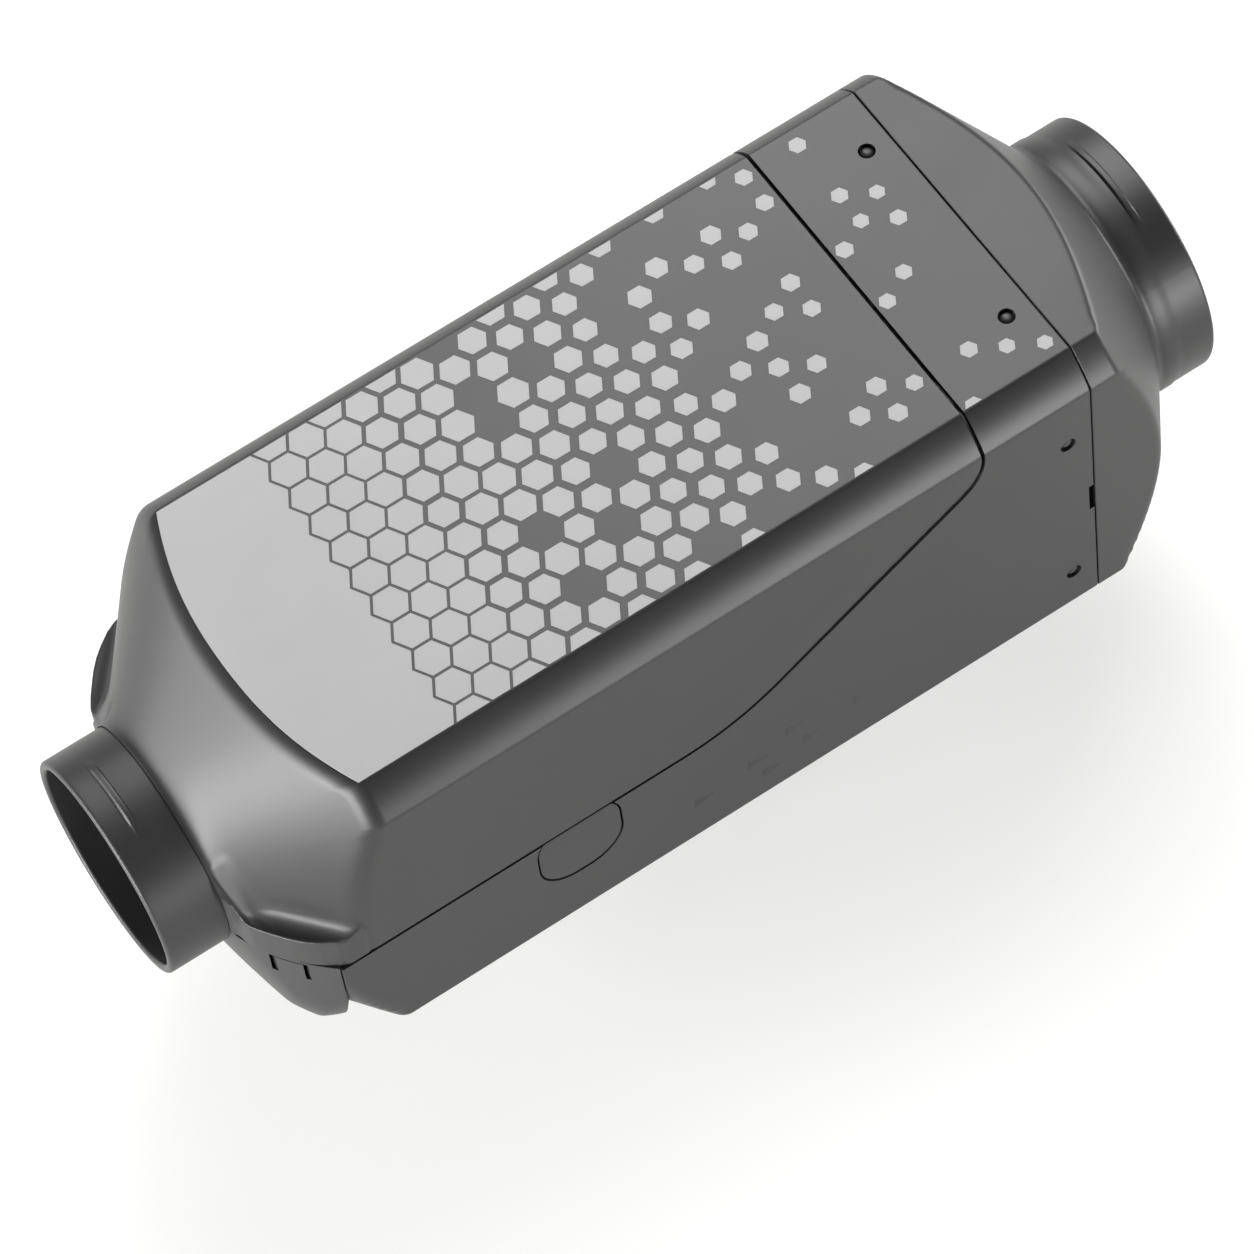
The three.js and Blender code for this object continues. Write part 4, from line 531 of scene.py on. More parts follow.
def finish_piece(made, slot, nodes=(), look=None, sharp=32.0):
    """Smooth shading with true edges, a material, a body and the nodes it stands for."""
    mesh = made.data
    mesh.name = made.name
    mesh.materials.clear()
    mesh.materials.append(finish(look or slot))
    for face in mesh.polygons:
        face.use_smooth = True
        face.material_index = 0
    mesh.set_sharp_from_angle(angle=math.radians(sharp))
    weighted = made.modifiers.new("even_shading", "WEIGHTED_NORMAL")
    weighted.keep_sharp = True
    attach(made, "housing")
    if nodes:
        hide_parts(*nodes)
    return made


# ---- Materials ----

# Polyamide and ink: a typical refractive index of plastics
PLASTIC_IOR = 1.5


def linear(colour):
    """An sRGB hex colour as linear RGBA."""
    parts = [int(colour[i:i + 2], 16) / 255 for i in (1, 3, 5)]
    return [c / 12.92 if c <= 0.04045 else ((c + 0.055) / 1.055) ** 2.4 for c in parts] + [1.0]


def add(material, kind, settings=None, links=None):
    """Adds one node, with its settings, socket values and incoming links."""
    node = material.node_tree.nodes.new(kind)
    for key, value in (settings or {}).items():
        if isinstance(key, str) and hasattr(node, key):
            setattr(node, key, value)
        else:
            node.inputs[key].default_value = value
    for key, source in (links or {}).items():
        material.node_tree.links.new(source, node.inputs[key])
    return node


def new_material(name):
    made = bpy.data.materials.new(name)
    made.use_nodes = True
    made.node_tree.nodes.clear()
    return made


def ramp(material, source, low, high, from_value, to_value):
    """Maps a value to a colour between two hex colours."""
    node = add(material, "ShaderNodeValToRGB", links={"Fac": source})
    node.color_ramp.elements[0].position = from_value
    node.color_ramp.elements[0].color = linear(low)
    node.color_ramp.elements[1].position = to_value
    node.color_ramp.elements[1].color = linear(high)
    return node.outputs["Color"]


def surface(name, low, high, grain, depth, cloud, rough, metallic=0.0):
    """A surface with a fine grain in relief and slow changes of tone and gloss, sized in mm."""
    made = new_material(name)
    place = {"Vector": add(made, "ShaderNodeTexCoord").outputs["Object"]}
    fine = add(made, "ShaderNodeTexNoise", {"Scale": 1 / (grain * MM), "Detail": 2.0}, place)
    slow = add(made, "ShaderNodeTexNoise", {"Scale": 1 / (cloud * MM), "Detail": 3.0}, place)
    tone = ramp(made, slow.outputs["Fac"], low, high, 0.3, 0.7)
    gloss = add(made, "ShaderNodeMapRange", {"To Min": rough[0], "To Max": rough[1]},
                {"Value": slow.outputs["Fac"]})
    relief = add(made, "ShaderNodeBump", {"Strength": 1.0, "Distance": depth * MM},
                 {"Height": fine.outputs["Fac"]})
    shader = add(made, "ShaderNodeBsdfPrincipled", {"Metallic": metallic},
                 {"Base Color": tone, "Roughness": gloss.outputs["Result"],
                  "Normal": relief.outputs["Normal"]})
    if not metallic:
        shader.inputs["IOR"].default_value = PLASTIC_IOR
    add(made, "ShaderNodeOutputMaterial", links={"Surface": shader.outputs["BSDF"]})
    return made


# Each slot's material, its two tones or the colour properties that hold them, and its surface
FINISHES = {
    # Glass-filled polyamide from a spark-eroded mould: a fine pebble that breaks up each highlight.
    # The real pebble is about 0.1 mm, drawn at 0.45 mm so that it shows.
    "casing_plastic": ("moulded_polyamide_casing", "casing_dark", "casing_light",
                       dict(grain=0.45, depth=0.012, cloud=60, rough=(0.4, 0.47))),
    # The same polyamide in a separate mould, a shade lighter and a little duller.
    "hood_plastic": ("moulded_polyamide_hood", "hood_dark", "hood_light",
                     dict(grain=0.5, depth=0.015, cloud=40, rough=(0.4, 0.49))),
    # Unfilled black polyamide from a polished mould: smooth, with a plain satin gloss.
    "black_plastic": ("moulded_polyamide_black", "#1b1b1c", "#242425",
                      dict(grain=0.4, depth=0.006, cloud=25, rough=(0.38, 0.5))),
    # Pad-printed ink with metal flake: pale, satin and slightly grainy over the plastic's pebble.
    "silver_ink": ("printed_silver_ink", "ink_dark", "ink_light",
                   dict(grain=0.4, depth=0.006, cloud=45, rough=(0.42, 0.52))),
    # Die-cast aluminium, as cast: dull, slightly cloudy metal with a skin of fine pits.
    "cast_aluminium": ("die_cast_aluminium", "#a2a4a4", "#b9bbbb",
                       dict(grain=0.8, depth=0.03, cloud=18, rough=(0.42, 0.6), metallic=1.0)),
    # Zinc-plated turned steel: bright metal, with the plating's faint grain.
    "bright_steel": ("zinc_plated_steel", "#b4b6b8", "#c9cbcc",
                     dict(grain=0.5, depth=0.01, cloud=10, rough=(0.22, 0.34), metallic=1.0)),
    # Laminated electrical steel and heat-stained sheet: dark metal, bluish to brownish.
    "dark_steel": ("heat_stained_steel", "#55565a", "#6b6966",
                   dict(grain=0.5, depth=0.01, cloud=12, rough=(0.34, 0.48), metallic=1.0)),
    # Pressed fibre gasket: matt dark grey with short fibres standing in the face.
    "gasket": ("pressed_fibre_gasket", "#2d2c2b", "#45433f",
               dict(grain=0.7, depth=0.04, cloud=6, rough=(0.8, 0.95))),
    # Turned brass, slightly dulled by heat.
    "sensor_brass": ("turned_brass", "#b48f4a", "#c7a560",
                     dict(grain=0.5, depth=0.01, cloud=8, rough=(0.28, 0.42), metallic=1.0)),
    # Sintered ferrite: almost black, matt and finely porous.
    "magnet": ("sintered_ferrite", "#262525", "#333231",
               dict(grain=0.5, depth=0.02, cloud=8, rough=(0.6, 0.75))),
}


def finish(look):
    """The material of a row of the table, made once."""
    name, *tones, values = FINISHES[look]
    colours = bpy.context.scene.heater_colours
    low, high = (tone if tone[0] == "#" else getattr(colours, tone) for tone in tones)
    return bpy.data.materials.get(name) or surface(name, low, high, **values)


# ---- Shapes of the casing pieces ----

def parting_outline(shift, above):
    """The parting line as an outline of all that is above or below it, moved square to itself."""
    slope = (DIAGONAL_TOP - PARTING_Z) / DIAGONAL_RUN
    length = math.hypot(1, slope)
    foot = RING_LINE - DIAGONAL_RUN
    toe, head = TOE_ROUND / length, HEAD_ROUND / length
    t = np.linspace(0, 1, PARTING_STEPS)
    toe_curve = bezier(((foot - TOE_ROUND, PARTING_Z), (foot, PARTING_Z),
                        (foot + toe, PARTING_Z + toe * slope)), t)
    head_curve = bezier(((RING_LINE - head, DIAGONAL_TOP - head * slope), (RING_LINE, DIAGONAL_TOP),
                         (RING_LINE, DIAGONAL_TOP + HEAD_ROUND)), t)
    line = np.concatenate([[(CUT_START, PARTING_Z)], toe_curve, head_curve, [(RING_LINE, CUT_HIGH)]])
    ahead = ahead_of(line)
    line = line + shift * np.stack([-ahead[:, 1], ahead[:, 0]], axis=1)
    below = [(CUT_END, CUT_HIGH), (CUT_END, -CUT_HIGH), (CUT_START, -CUT_HIGH)]
    return [tuple(p) for p in line] + ([(CUT_START, CUT_HIGH)] if above else below)


def cut_at_parting(made, above):
    """Keeps what is above or below the parting line, clear of it by half its gap."""
    shift = PARTING_GAP / 2 if above else -PARTING_GAP / 2
    carve(made, prism(parting_outline(shift, above), -CUT_SIDE, CUT_SIDE, "y"), "INTERSECT")


def upper_shape():
    x = np.concatenate([[CREASE], LEDGE_ROWS, np.arange(*SKIRT_ROWS), UPPER_MIDDLE_ROWS,
                        np.arange(*UPPER_REAR_ROWS), [RING_LINE + CUT_CLEAR]])[:, None]
    plan = np.interp(x, *zip(*SKIRT_PLAN))
    start = np.arctan2(SKIRT_RISE, plan)
    radius = np.minimum(inlet_flare(x, start)[0], HALF_WIDTH)
    meets = math.atan2(WEB[1], WEB[0]) - np.arccos(WEB[2] / radius)
    end = np.maximum(np.maximum(np.arcsin(SKIRT_RISE / radius), meets), start + LEAST_TURN)
    angles = case_angles(len(x), np.concatenate([start, end], axis=1))
    outer = radius_where(upper_form, x, angles)
    inner = np.maximum(radius_where(upper_form, x, angles, -WALL), INLET_R + LEAST_WALL)
    inner = np.minimum(inner, outer - LEAST_WALL)
    return tube_solid(around(x, outer, angles), around(x, inner, angles))


def seam_rows(start, end):
    """Two stations at a rim that give it a small lip."""
    return (start, start + math.copysign(LIP, end - start))


def lower_shape():
    rim = HOOD_LINE - SEAM / 2
    x = np.concatenate([seam_rows(LOWER_FRONT, rim), np.arange(*LOWER_FLARE_ROWS), LOWER_REAR_ROWS,
                        seam_rows(rim, LOWER_FRONT)[::-1]])[:, None]
    angles = case_angles(len(x))
    outer = radius_where(lower_form, x, angles)
    outer[0] -= LIP
    outer[-1] -= LIP
    inner = radius_where(lower_form, x, angles, -WALL)
    return tube_solid(around(x, outer, angles), around(x, inner, angles))


def peg_places():
    """Each peg: the axis that it points along, its sign, and its place across."""
    top = [("z", up, side * TOP_PEG_Y) for up in (-1, 1) for side in (-1, 1)]
    return top + [("y", side, height) for side in (-1, 1) for height in SIDE_PEG_Z]


def peg_rings(axis, sign, place, sides, profile):
    """Rings about a peg's axis: one for each radius and height over the case face."""
    face = HALF_HEIGHT if axis == "z" else HALF_WIDTH
    angles = np.linspace(0, 2 * math.pi, sides, endpoint=False)
    rings = []
    for radius, height in profile:
        along = HOOD_LINE - PEG_FROM_HOOD + radius * np.cos(angles)
        across = place + radius * np.sin(angles)
        out = np.full_like(along, sign * (face + height))
        rings.append(np.stack([along, across, out] if axis == "z" else [along, out, across], axis=1))
    return lofted(rings)


def peg_hole(axis, sign, place):
    return peg_rings(axis, sign, place, HOLE_SIDES,
                     [(PEG_HOLE_R, -PEG_HOLE_DEPTH), (PEG_HOLE_R, CUT_CLEAR)])


def peg_dome(axis, sign, place):
    """A snap peg with a domed head, set below the case face."""
    foot = -PEG_SUNK - PEG_LENGTH
    head = [(PEG_R * math.cos(t), -PEG_SUNK - PEG_CROWN * (1 - math.sin(t)))
            for t in np.linspace(0, DOME_TURN, DOME_STEPS)]
    return peg_rings(axis, sign, place, PEG_SIDES, [(CENTRE, foot), (PEG_R, foot)] + head)


def mark_wedge(x, z, side):
    """A shallow pointed mark, deepest at the upper corner of its wide end."""
    length, height, depth = MARK_SIZE
    face, deep, proud = (side * (HALF_WIDTH + d) for d in (0, -depth, CUT_CLEAR))
    top, low, tip = (x, z + height / 2), (x, z - height / 2), (x + length, z)
    points = [(u, y, w) for (u, w), y in ((top, deep), (low, face), (tip, face))]
    points += [(u, proud, w) for u, w in (top, low, tip)]
    return points, [[0, 1, 2], [3, 4, 5], [0, 1, 4, 3], [1, 2, 5, 4], [2, 0, 3, 5]]


def side_marks():
    return [mark_wedge(x, z, side) for side in (-1, 1) for x, z in MARK_PLACES]


def pry_slots():
    width, height, middle = PRY_SLOT
    outline = box_outline(HOOD_LINE - width, HOOD_LINE + CUT_CLEAR, middle - height / 2, middle + height / 2)
    return prism(outline, -HALF_WIDTH - CUT_CLEAR, HALF_WIDTH + CUT_CLEAR, "y")


def ridge(x, angles, tube, middle):
    """Height of the crescent ridge that keeps a hose on a nozzle."""
    reach = tube + RIDGE_RISE - RIDGE_OFFSET
    aside = RIDGE_OFFSET * np.cos(angles)
    crest = RIDGE_OFFSET * np.sin(angles) + np.sqrt(np.maximum(reach ** 2 - aside ** 2, 0))
    return np.maximum(crest - tube, 0) * (1 - smooth(*RIDGE_FLANKS, np.abs(x - middle)))


def rim_profile(rim, inward, radius):
    """Stations and radii round a nozzle's rim, from outside to bore."""
    t = np.linspace(0, math.pi / 2, RIM_STEPS)
    out_x = rim + inward * RIM_ROUND * (1 - np.sin(t))
    out_r = radius - RIM_ROUND * (1 - np.cos(t))
    in_x = rim + inward * RIM_ROUND * (1 - np.cos(t))
    in_r = radius - NOZZLE_WALL + RIM_ROUND * (1 - np.sin(t))
    return np.concatenate([out_x, in_x[1:]]), np.concatenate([out_r, in_r[1:]])


def outlet_shape():
    rim = HOOD_LINE + SEAM / 2
    ridge_at = OUTLET_RIM - RIDGE_FROM_RIM
    x = np.concatenate([
        seam_rows(rim, OUTLET_RIM), [HOOD_SHOULDER - 3],
        np.arange(HOOD_SHOULDER - 1, NECK + 4, HOOD_STEP),
        np.arange(NECK + 5, ridge_at - RIDGE_REACH, TUBE_STEP),
        np.arange(ridge_at - RIDGE_REACH, ridge_at + RIDGE_REACH, RIDGE_STEP),
        [OUTLET_RIM - row for row in OUTLET_END_ROWS]])[:, None]
    angles = case_angles(len(x))
    outer = radius_where(outlet_form, x, angles)
    outer[0] -= LIP
    band = BAND_RISE * smooth(*BAND_START, x - NECK) * (1 - smooth(*BAND_END, x - NECK))
    outer += np.maximum(ridge(x, angles, OUTLET_R, ridge_at), band)
    rim_x, rim_r = (values[:, None] for values in rim_profile(OUTLET_RIM, -1, OUTLET_R))
    rim_rings = around(rim_x, rim_r, np.tile(angles[:1], (len(rim_x), 1)))
    inner = np.minimum(radius_where(outlet_form, x, angles, -NOZZLE_WALL), outer - WALL)
    return tube_solid(np.concatenate([around(x, outer, angles), rim_rings]), around(x, inner, angles))


def inlet_tube_shape():
    """The nozzle, its ridge and the funnel behind it, as one wall turned about the duct axis."""
    rim_x, rim_r = rim_profile(0, 1, INLET_R)
    inside = FUNNEL[0][0] - TUBE_INTO_FUNNEL
    behind, before = RIDGE_FROM_RIM + RIDGE_REACH, RIDGE_FROM_RIM - RIDGE_REACH
    tube_x = np.concatenate([[inside], np.arange(TUBE_FRONT, behind, -TUBE_STEP),
                             np.arange(behind, before, -RIDGE_STEP), INLET_END_ROWS])
    profile = [(x, INLET_R) for x in tube_x] + list(zip(rim_x, rim_r))
    profile += [(inside, INLET_R - NOZZLE_WALL)] + [(x, bore) for x, _, bore in FUNNEL]
    profile += [(x, outer) for x, outer, _ in FUNNEL[::-1]]
    x, r = (values[:, None] for values in np.array(profile).T)
    angles = np.tile(np.linspace(0, 2 * math.pi, TUBE_SIDES, endpoint=False), (len(x), 1))
    raised = ridge(x, angles, INLET_R, RIDGE_FROM_RIM) * (r > INLET_R - HAIR)
    rings = around(x, r + raised, angles)
    return rings.reshape(-1, 3), ring_faces(len(rings), TUBE_SIDES, True)


def bowl_shape():
    """The bowl as two open sheets whose section is a square with large rounded corners."""
    rows, columns = BOWL_STEPS
    curve = bezier(BOWL_CURVE, np.linspace(0, 1, rows))
    ahead = ahead_of(curve)
    inside = curve + BOWL_WALL * np.stack([ahead[:, 1], -ahead[:, 0]], axis=1)
    share = np.linspace(0, 1, columns)[None, :]
    sheets = []
    for line in (curve, inside):
        x, half = line[:, :1], line[:, 1:]
        corner = np.interp(x, *zip(*BOWL_CORNER)) * half / np.interp(x, curve[:, 0], curve[:, 1])
        start = np.arctan2(-BOWL_TOP, half)
        angles = -start - (math.pi - 2 * start) * share
        across, down = np.abs(np.cos(angles)), np.abs(np.sin(angles))
        middle = half - corner
        flat = half / np.maximum(across, down)
        both = middle * (across + down)
        turned_corner = both + np.sqrt(np.maximum(both ** 2 - 2 * middle ** 2 + corner ** 2, 0))
        radius = np.where(flat * np.minimum(across, down) <= middle, flat, turned_corner)
        sheets.append(around(x, radius, angles))
    return sheet_solid(*sheets)


def snap_slots():
    """Two upright slots each side of the bowl, joined by a line over them, which free a snap tab."""
    width, height = SLOT_SIZE
    thin, below = TAB_LINE
    first, last = SLOT_STATIONS
    top = BOWL_TOP - below
    outlines = [box_outline(x - width / 2, x + width / 2, BOWL_TOP - height, top) for x in SLOT_STATIONS]
    outlines.append(box_outline(first + width / 2 + HAIR, last - width / 2 - HAIR, top - thin, top))
    return [prism(outline, *sorted(side * end for end in SLOT_REACH), "y")
            for side in (-1, 1) for outline in outlines]


def cap_shape(side):
    """A domed cable cap: rings from its middle out to its edge, then down its skirt."""
    outline = np.array(round_rectangle((0, 0), CAP_SIZE, CAP_CORNER, CAP_STEPS))
    outline[:, 1] = np.minimum(outline[:, 1], PARTING_Z - PARTING_GAP / 2 - CAP_MIDDLE[1])
    crown, edge = CAP_SUNK
    levels = [(share, crown + (edge - crown) * share ** CAP_FULLNESS + CAP_TURN * smooth(*CAP_EDGE, share))
              for share in CAP_SHARES]
    rings = []
    for share, sunk in levels + [(1.0, CAP_THICK), (CENTRE, CAP_THICK)]:
        across, up = (outline * share + CAP_MIDDLE).T
        rings.append(np.stack([across, np.full_like(across, side * (HALF_WIDTH - sunk)), up], axis=1))
    return lofted(rings)


# ---- Printed field ----

def field_start(y):
    """Where the flat top begins at a distance from the middle, clear of the flare's edge."""
    start, face, corner, root = INLET_FLARE
    slope = face + (corner - face) * np.sin(2 * np.arctan2(HALF_HEIGHT, y)) ** 2
    run = root + (np.hypot(y, HALF_HEIGHT) - start) / slope
    return CREASE + np.sqrt(run ** 2 - root ** 2) + INK_MARGIN


def solid_field(half, side, pitch, end, levels):
    """The solid part of the print, with an edge that fits the hexagons after it."""
    y = np.arange(-half, half + HAIR, half / FIELD_STEPS)
    zigzag = np.abs((np.abs(y) / (pitch / 2) + 1) % 2 - 1)
    rings = []
    for level in levels:
        height = np.full_like(y, level)
        near = np.stack([field_start(y), y, height], 1)
        far = np.stack([end + (side / 2) * zigzag, y, height], 1)
        rings.append(np.concatenate([near, far[::-1]]))
    count = len(rings[0])
    faces = ring_faces(2, count)
    for base in (0, count):
        last = base + count - 1
        faces += [[base + i, base + i + 1, last - i - 1, last - i] for i in range(len(y) - 1)]
    return np.concatenate(rings), faces


def is_clear(cell, middle_x, middle_y):
    """Whether a printed shape stays off the two seams across the top and off the pegs."""
    low, high = min(p[0] for p in cell), max(p[0] for p in cell)
    on_ring_line = low < RING_LINE + RING_CLEAR and high > RING_LINE - RING_CLEAR
    from_row = middle_x - HOOD_LINE + PEG_FROM_HOOD
    from_peg = min(math.hypot(from_row, middle_y - side * TOP_PEG_Y) for side in (-1, 1))
    return high <= HOOD_LINE - HOOD_CLEAR and not on_ring_line and from_peg >= PEG_CLEAR


def print_shape(sizes):
    """A solid printed field that breaks up into hexagons, which shrink and thin out along the top."""
    pitch, gap, solid_end = sizes.print_pitch / MM, sizes.print_gap / MM, sizes.print_solid / MM
    half = HALF_WIDTH - BEVEL_WIDTH - INK_EDGE
    side = pitch / math.sqrt(3)
    row_pitch = pitch * math.sqrt(3) / 2
    levels = (HALF_HEIGHT - INK_DEPTH, HALF_HEIGHT + INK_TOP)
    parts = [solid_field(half, side, pitch, solid_end - side / 2 - gap / 2, levels)]
    random = np.random.default_rng(sizes.print_seed)
    hexagon = [(side * math.cos(math.pi / 3 * i), side * math.sin(math.pi / 3 * i)) for i in range(6)]
    for row in range(math.ceil((HOOD_LINE - solid_end) / row_pitch)):
        middle_x = solid_end + side / 2 + row * row_pitch
        travel = (middle_x - solid_end) / (HOOD_LINE - solid_end)
        keep = 1 - THINNING[0] * smooth(*THINNING[1:], travel)
        shrunk = (1 - gap / pitch) * (1 - SHRINKING[0] * smooth(*SHRINKING[1:], travel))
        for column in range(-PRINT_COLUMNS, PRINT_COLUMNS + 1):
            middle_y = column * pitch + pitch / 2 * (row % 2)
            luck, wobble = random.random(), random.random()
            scale = shrunk * (1 - WOBBLE[1] * wobble if travel > WOBBLE[0] else 1)
            cell = clipped([(middle_x + scale * u, middle_y + scale * v) for u, v in hexagon], half)
            if luck <= keep and len(cell) > 2 and is_clear(cell, middle_x, middle_y):
                parts.append(prism(cell, *levels, "z"))
    return joined(parts)


def clipped(cell, half):
    """An outline kept within the flat top's width."""
    for sign in (-1, 1):
        kept = []
        for (ax, ay), (bx, by) in zip(cell, cell[1:] + cell[:1]):
            inside_a, inside_b = sign * ay <= half, sign * by <= half
            if inside_a:
                kept.append((ax, ay))
            if inside_a != inside_b:
                share = (sign * half - ay) / (by - ay)
                kept.append((ax + share * (bx - ax), sign * half))
        cell = kept
        if len(cell) < 3:
            break
    return cell


# ---- Properties ----

def metres(name, description, default):
    return FloatProperty(name=name, description=description, default=default, unit="LENGTH")


def hex_colour(name, description, default):
    return StringProperty(name=name, description=description, default=default)


def amount(name, description, default):
    return FloatProperty(name=name, description=description, default=default)


def degrees(name, description, value):
    return FloatProperty(name=name, description=description, default=math.radians(value), subtype="ANGLE")


class HeaterSizes(bpy.types.PropertyGroup):
    """Widths of the rounded edges, and the print's pattern"""
    case_edge: metres("Case edge", "Width over which the case edges are rounded", 0.0005)
    flare_edge: metres("Flare edge", "Width over which a flare meets the case", 0.0042)
    hood_edge: metres("Hood edge", "Width over which the outlet flare meets the case", 0.0015)
    ledge_edge: metres("Ledge edge", "Width of the round on the skirt's ledge", 0.0012)
    valley: metres("Valley", "Width of the hollow between the flare and the ledge", 0.007)
    print_pitch: metres("Print pitch", "Distance between printed hexagons", 0.0115)
    print_gap: metres("Print gap", "Bare line between printed hexagons", 0.001)
    print_solid: metres("Solid print", "Where the solid field ends, from the inlet rim", 0.102)
    print_seed: IntProperty(name="Print seed", default=4,
                            description="Start of the draw that thins out the print")


class HeaterColours(bpy.types.PropertyGroup):
    """Two tones for each material in the photograph, and the floor's"""
    casing_dark: hex_colour("Casing, dark", "Darker tone of the casing", "#212121")
    casing_light: hex_colour("Casing, light", "Lighter tone of the casing", "#262626")
    hood_dark: hex_colour("Hood, dark", "Darker tone of the hoods", "#242424")
    hood_light: hex_colour("Hood, light", "Lighter tone of the hoods", "#292929")
    ink_dark: hex_colour("Ink, dark", "Darker tone of the print", "#a7a7a7")
    ink_light: hex_colour("Ink, light", "Lighter tone of the print", "#afafaf")
    floor: hex_colour("Floor", "Colour of the studio floor", "#b9b9b7")


class HeaterStudio(bpy.types.PropertyGroup):
    """Lights and camera"""
    key_light: amount("Key light", "Radiance of the overhead softboxes", 7.0)
    end_light: amount("End light", "Radiance of the strip at the inlet end", 38.0)
    front_light: amount("Front light", "Radiance of the low front strip", 32.0)
    outlet_light: amount("Outlet light", "Radiance of the strip at the outlet end", 20.0)
    world_light: amount("World light", "Strength of the studio's surroundings", 1.0)
    floor_lift: amount("Floor lift", "Extra white of the floor where it is seen", 0.56)
    camera_azimuth: degrees("Camera azimuth", "Turn of the camera round the heater", -25.542)
    camera_elevation: degrees("Camera elevation", "Height angle of the camera", 59.693)
    camera_roll: degrees("Camera roll", "Turn of the picture", -9.173)
    camera_place: FloatVectorProperty(name="Camera place", description="Where the camera stands", size=3,
                                      default=(-0.48414, -0.97415, 1.88304), subtype="TRANSLATION")
    lens: FloatProperty(name="Lens", description="Focal length in millimetres", default=195.14)


# ---- Operators ----

class HEATER_OT_stage(bpy.types.Operator):
    """Sets up the floor, the surroundings, the soft lights and the camera"""
    bl_idname = "heater.stage"
    bl_label = "Studio and camera"

    def execute(self, context):
        studio = context.scene.heater_studio
        make_floor(context)
        make_world(context, studio)
        make_lights(context, studio)
        make_camera(context, studio)
        context.scene.view_settings.view_transform = "Standard"
        return {"FINISHED"}


def make_floor(context):
    """A wide pale board under the heater, brighter where it is seen than where it lights."""
    work = bmesh.new()
    bmesh.ops.create_grid(work, x_segments=8, y_segments=8, size=FLOOR_HALF)
    mesh = bpy.data.meshes.new("studio_floor")
    work.to_mesh(mesh)
    work.free()
    floor = bpy.data.objects.new("studio_floor", mesh)
    floor.location.z = CAD_BOX[0].z - FLOOR_GAP
    context.scene.collection.objects.link(floor)
    # Painted board, matt: a plain pale ground that keeps the soft shadow.
    made = new_material("painted_board")
    paint = add(made, "ShaderNodeBsdfPrincipled",
                {"Base Color": linear(context.scene.heater_colours.floor), "Roughness": 0.9,
                 "IOR": 1.45, "Specular IOR Level": 0.2})
    rays = add(made, "ShaderNodeLightPath")
    seen = add(made, "ShaderNodeMath", {"operation": "ADD"},
               {0: rays.outputs["Is Camera Ray"], 1: rays.outputs["Is Glossy Ray"]})
    through = add(made, "ShaderNodeMath", {"operation": "ADD", "use_clamp": True},
                  {0: seen.outputs["Value"], 1: rays.outputs["Is Transmission Ray"]})
    glow = add(made, "ShaderNodeMath", {"operation": "MULTIPLY", 1: context.scene.heater_studio.floor_lift},
               {0: through.outputs["Value"]})
    lift = add(made, "ShaderNodeEmission", links={"Strength": glow.outputs["Value"]})
    both = add(made, "ShaderNodeAddShader", links={0: paint.outputs["BSDF"], 1: lift.outputs["Emission"]})
    add(made, "ShaderNodeOutputMaterial", links={"Surface": both.outputs["Shader"]})
    mesh.materials.append(made)


def make_world(context, studio):
    """Surroundings that are white at the horizon and dimmer overhead."""
    world = bpy.data.worlds.new("studio_surroundings")
    context.scene.world = world
    world.use_nodes = True
    world.node_tree.nodes.clear()
    way = add(world, "ShaderNodeTexCoord")
    split = add(world, "ShaderNodeSeparateXYZ", links={"Vector": way.outputs["Generated"]})
    node = add(world, "ShaderNodeValToRGB", links={"Fac": split.outputs["Z"]})
    elements = node.color_ramp.elements
    while len(elements) < len(WORLD_STOPS):
        elements.new(0.5)
    for element, (place, tone) in zip(elements, WORLD_STOPS):
        element.position = place
        element.color = (tone, tone, tone, 1)
    shade = add(world, "ShaderNodeBackground", {"Strength": studio.world_light},
                {"Color": node.outputs["Color"]})
    add(world, "ShaderNodeOutputWorld", links={"Surface": shade.outputs["Background"]})


def softbox(context, name, azimuth, elevation, width, height, radiance):
    """A soft rectangular light that faces the middle of the heater."""
    az, el = math.radians(azimuth), math.radians(elevation)
    away = Vector((math.cos(el) * math.cos(az), math.cos(el) * math.sin(az), math.sin(el)))
    light = bpy.data.lights.new(name, "AREA")
    light.shape = "RECTANGLE"
    light.size, light.size_y = width, height
    light.energy = radiance * math.pi * width * height
    made = bpy.data.objects.new(name, light)
    made.location = Vector((0, 0, ORIGIN_Z)) + away * LAMP_DISTANCE
    made.rotation_euler = away.to_track_quat("Z", "Y").to_euler()
    context.scene.collection.objects.link(made)


def make_lights(context, studio):
    for *box, light, share in LAMPS:
        softbox(context, *box, getattr(studio, light) * share)


def make_camera(context, studio):
    az, el, roll = studio.camera_azimuth, studio.camera_elevation, studio.camera_roll
    back = Vector((math.sin(az) * math.cos(el), -math.cos(az) * math.cos(el), math.sin(el)))
    right = Vector((math.cos(az), math.sin(az), 0))
    up = back.cross(right)
    across = right * math.cos(roll) + up * math.sin(roll)
    above = up * math.cos(roll) - right * math.sin(roll)
    data = bpy.data.cameras.new("camera")
    data.lens = studio.lens
    data.sensor_width = data.sensor_height = SENSOR
    data.sensor_fit = "AUTO"
    camera = bpy.data.objects.new("camera", data)
    facing = Matrix((across, above, back)).transposed().to_4x4()
    camera.matrix_world = Matrix.Translation(studio.camera_place) @ facing
    context.scene.collection.objects.link(camera)
    context.scene.camera = camera


class HEATER_OT_upper_shell(bpy.types.Operator):
    """Builds the upper casing shell with its flare, ledge and skirt"""
    bl_idname = "heater.upper_shell"
    bl_label = "Upper shell"

    def execute(self, context):
        made = solid_object("upper_shell_moulding", upper_shape())
        cut_at_parting(made, above=True)
        finish_piece(made, "casing_plastic", ["upper_shell"])
        return {"FINISHED"}


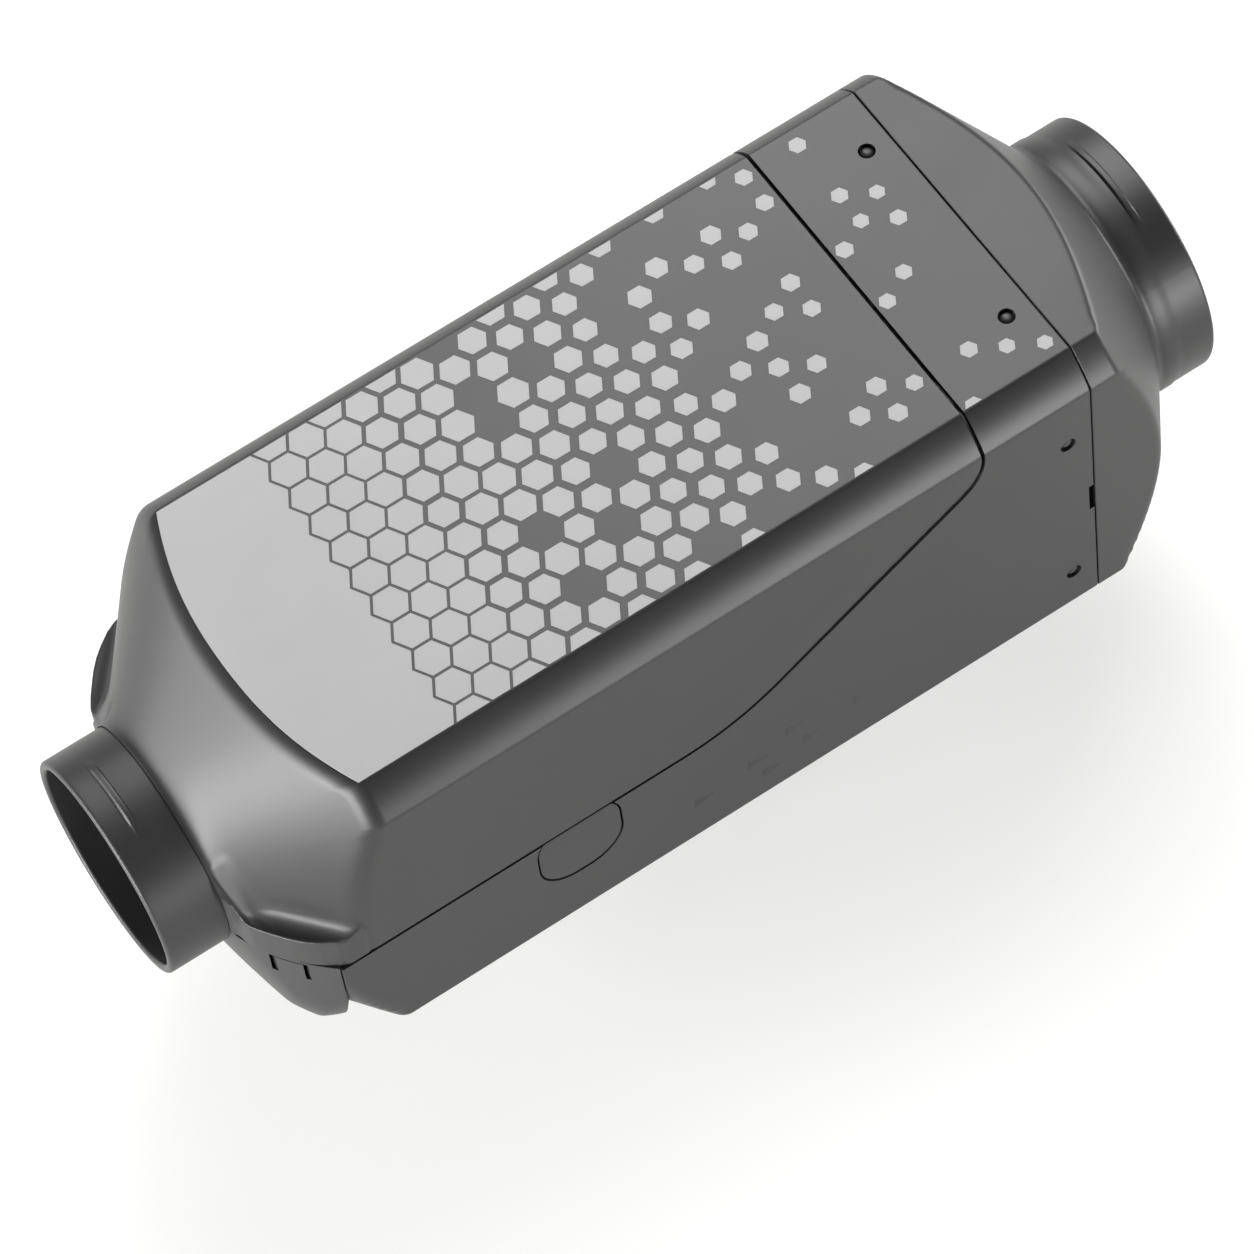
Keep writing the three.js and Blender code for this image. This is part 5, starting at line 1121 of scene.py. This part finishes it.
class HEATER_OT_lower_shell(bpy.types.Operator):
    """Builds the lower casing shell with the ring, peg holes, cap openings and marks"""
    bl_idname = "heater.lower_shell"
    bl_label = "Lower shell and ring"

    def execute(self, context):
        made = solid_object("lower_shell_moulding", lower_shape())
        cut_at_parting(made, above=False)
        middle, length, width, corner = FOOT_OPENING
        foot = prism(round_rectangle((middle, 0), (length, width), corner), -CUT_SIDE, -CUT_INNER, "z")
        opening = round_rectangle(CAP_MIDDLE, [s + 2 * CAP_GAP for s in CAP_SIZE], CAP_CORNER + CAP_GAP)
        caps = [prism(opening, *ends, "y") for ends in ((-CUT_SIDE, -CUT_INNER), (CUT_INNER, CUT_SIDE))]
        holes = [peg_hole(*place) for place in peg_places()]
        carve(made, joined([foot, *caps, *holes, pry_slots(), *side_marks()]))
        finish_piece(made, "casing_plastic", ["lower_shell"], sharp=MARK_SHARP)
        return {"FINISHED"}


class HEATER_OT_inlet_hood(bpy.types.Operator):
    """Builds the inlet nozzle, its funnel and the bowl under it"""
    bl_idname = "heater.inlet_hood"
    bl_label = "Inlet hood"

    def execute(self, context):
        made = solid_object("inlet_hood_moulding", bowl_shape())
        carve(made, joined(snap_slots()))
        carve(made, inlet_tube_shape(), "UNION")
        finish_piece(made, "hood_plastic", ["inlet_hood"])
        return {"FINISHED"}


class HEATER_OT_outlet_hood(bpy.types.Operator):
    """Builds the outlet hood, its nozzle and the snap pegs"""
    bl_idname = "heater.outlet_hood"
    bl_label = "Outlet hood"

    def execute(self, context):
        made = solid_object("outlet_hood_moulding", outlet_shape())
        finish_piece(made, "hood_plastic", ["outlet_hood"])
        pegs = solid_object("snap_pegs", joined([peg_dome(*place) for place in peg_places()]))
        finish_piece(pegs, "casing_plastic")
        return {"FINISHED"}


class HEATER_OT_cable_caps(bpy.types.Operator):
    """Builds the two domed caps over the cable exits"""
    bl_idname = "heater.cable_caps"
    bl_label = "Cable caps"

    def execute(self, context):
        for node in ("cable_cap_left", "cable_cap_right"):
            side = 1 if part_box(node)[0].y > 0 else -1
            made = solid_object(node + "_moulding", cap_shape(side))
            finish_piece(made, "casing_plastic", [node])
        return {"FINISHED"}


class HEATER_OT_print(bpy.types.Operator):
    """Builds the silver printed field on the top"""
    bl_idname = "heater.print"
    bl_label = "Printed field"

    def execute(self, context):
        made = solid_object("printed_field", print_shape(context.scene.heater_sizes))
        finish_piece(made, "casing_plastic", look="silver_ink")
        return {"FINISHED"}


class HEATER_OT_inside(bpy.types.Operator):
    """Gives every other part of the heater its finish"""
    bl_idname = "heater.inside"
    bl_label = "Fittings and inside"

    def execute(self, context):
        for part in frame["record"]["subparts"]:
            made = frame["nodes"][part["node"]]
            material = finish(part["material_slot"])
            if not made.material_slots:
                made.data.materials.append(material)
            for place in made.material_slots:
                place.material = material
        return {"FINISHED"}


class HEATER_PT_panel(bpy.types.Panel):
    """Lists the pieces of the heater"""
    bl_label = "Diesel air heater"
    bl_space_type = "VIEW_3D"
    bl_region_type = "UI"
    bl_category = "Heater"

    def draw(self, context):
        for key in GROUPS:
            group = getattr(context.scene, key)
            for name in group.__annotations__:
                self.layout.prop(group, name)
        for operator in OPERATORS:
            self.layout.operator(operator.bl_idname)


OPERATORS = (
    HEATER_OT_stage,
    HEATER_OT_upper_shell,
    HEATER_OT_lower_shell,
    HEATER_OT_inlet_hood,
    HEATER_OT_outlet_hood,
    HEATER_OT_cable_caps,
    HEATER_OT_print,
    HEATER_OT_inside,
)
GROUPS = {"heater_sizes": HeaterSizes, "heater_colours": HeaterColours, "heater_studio": HeaterStudio}


def register():
    for group in (*GROUPS.values(), *OPERATORS, HEATER_PT_panel):
        bpy.utils.register_class(group)
    for name, group in GROUPS.items():
        setattr(bpy.types.Scene, name, PointerProperty(type=group))


def unregister():
    for name in GROUPS:
        delattr(bpy.types.Scene, name)
    for group in reversed((*GROUPS.values(), *OPERATORS, HEATER_PT_panel)):
        bpy.utils.unregister_class(group)


def main():
    register()
    for operator in OPERATORS:
        group, name = operator.bl_idname.split(".")
        getattr(getattr(bpy.ops, group), name)()


if __name__ == "__main__":
    main()
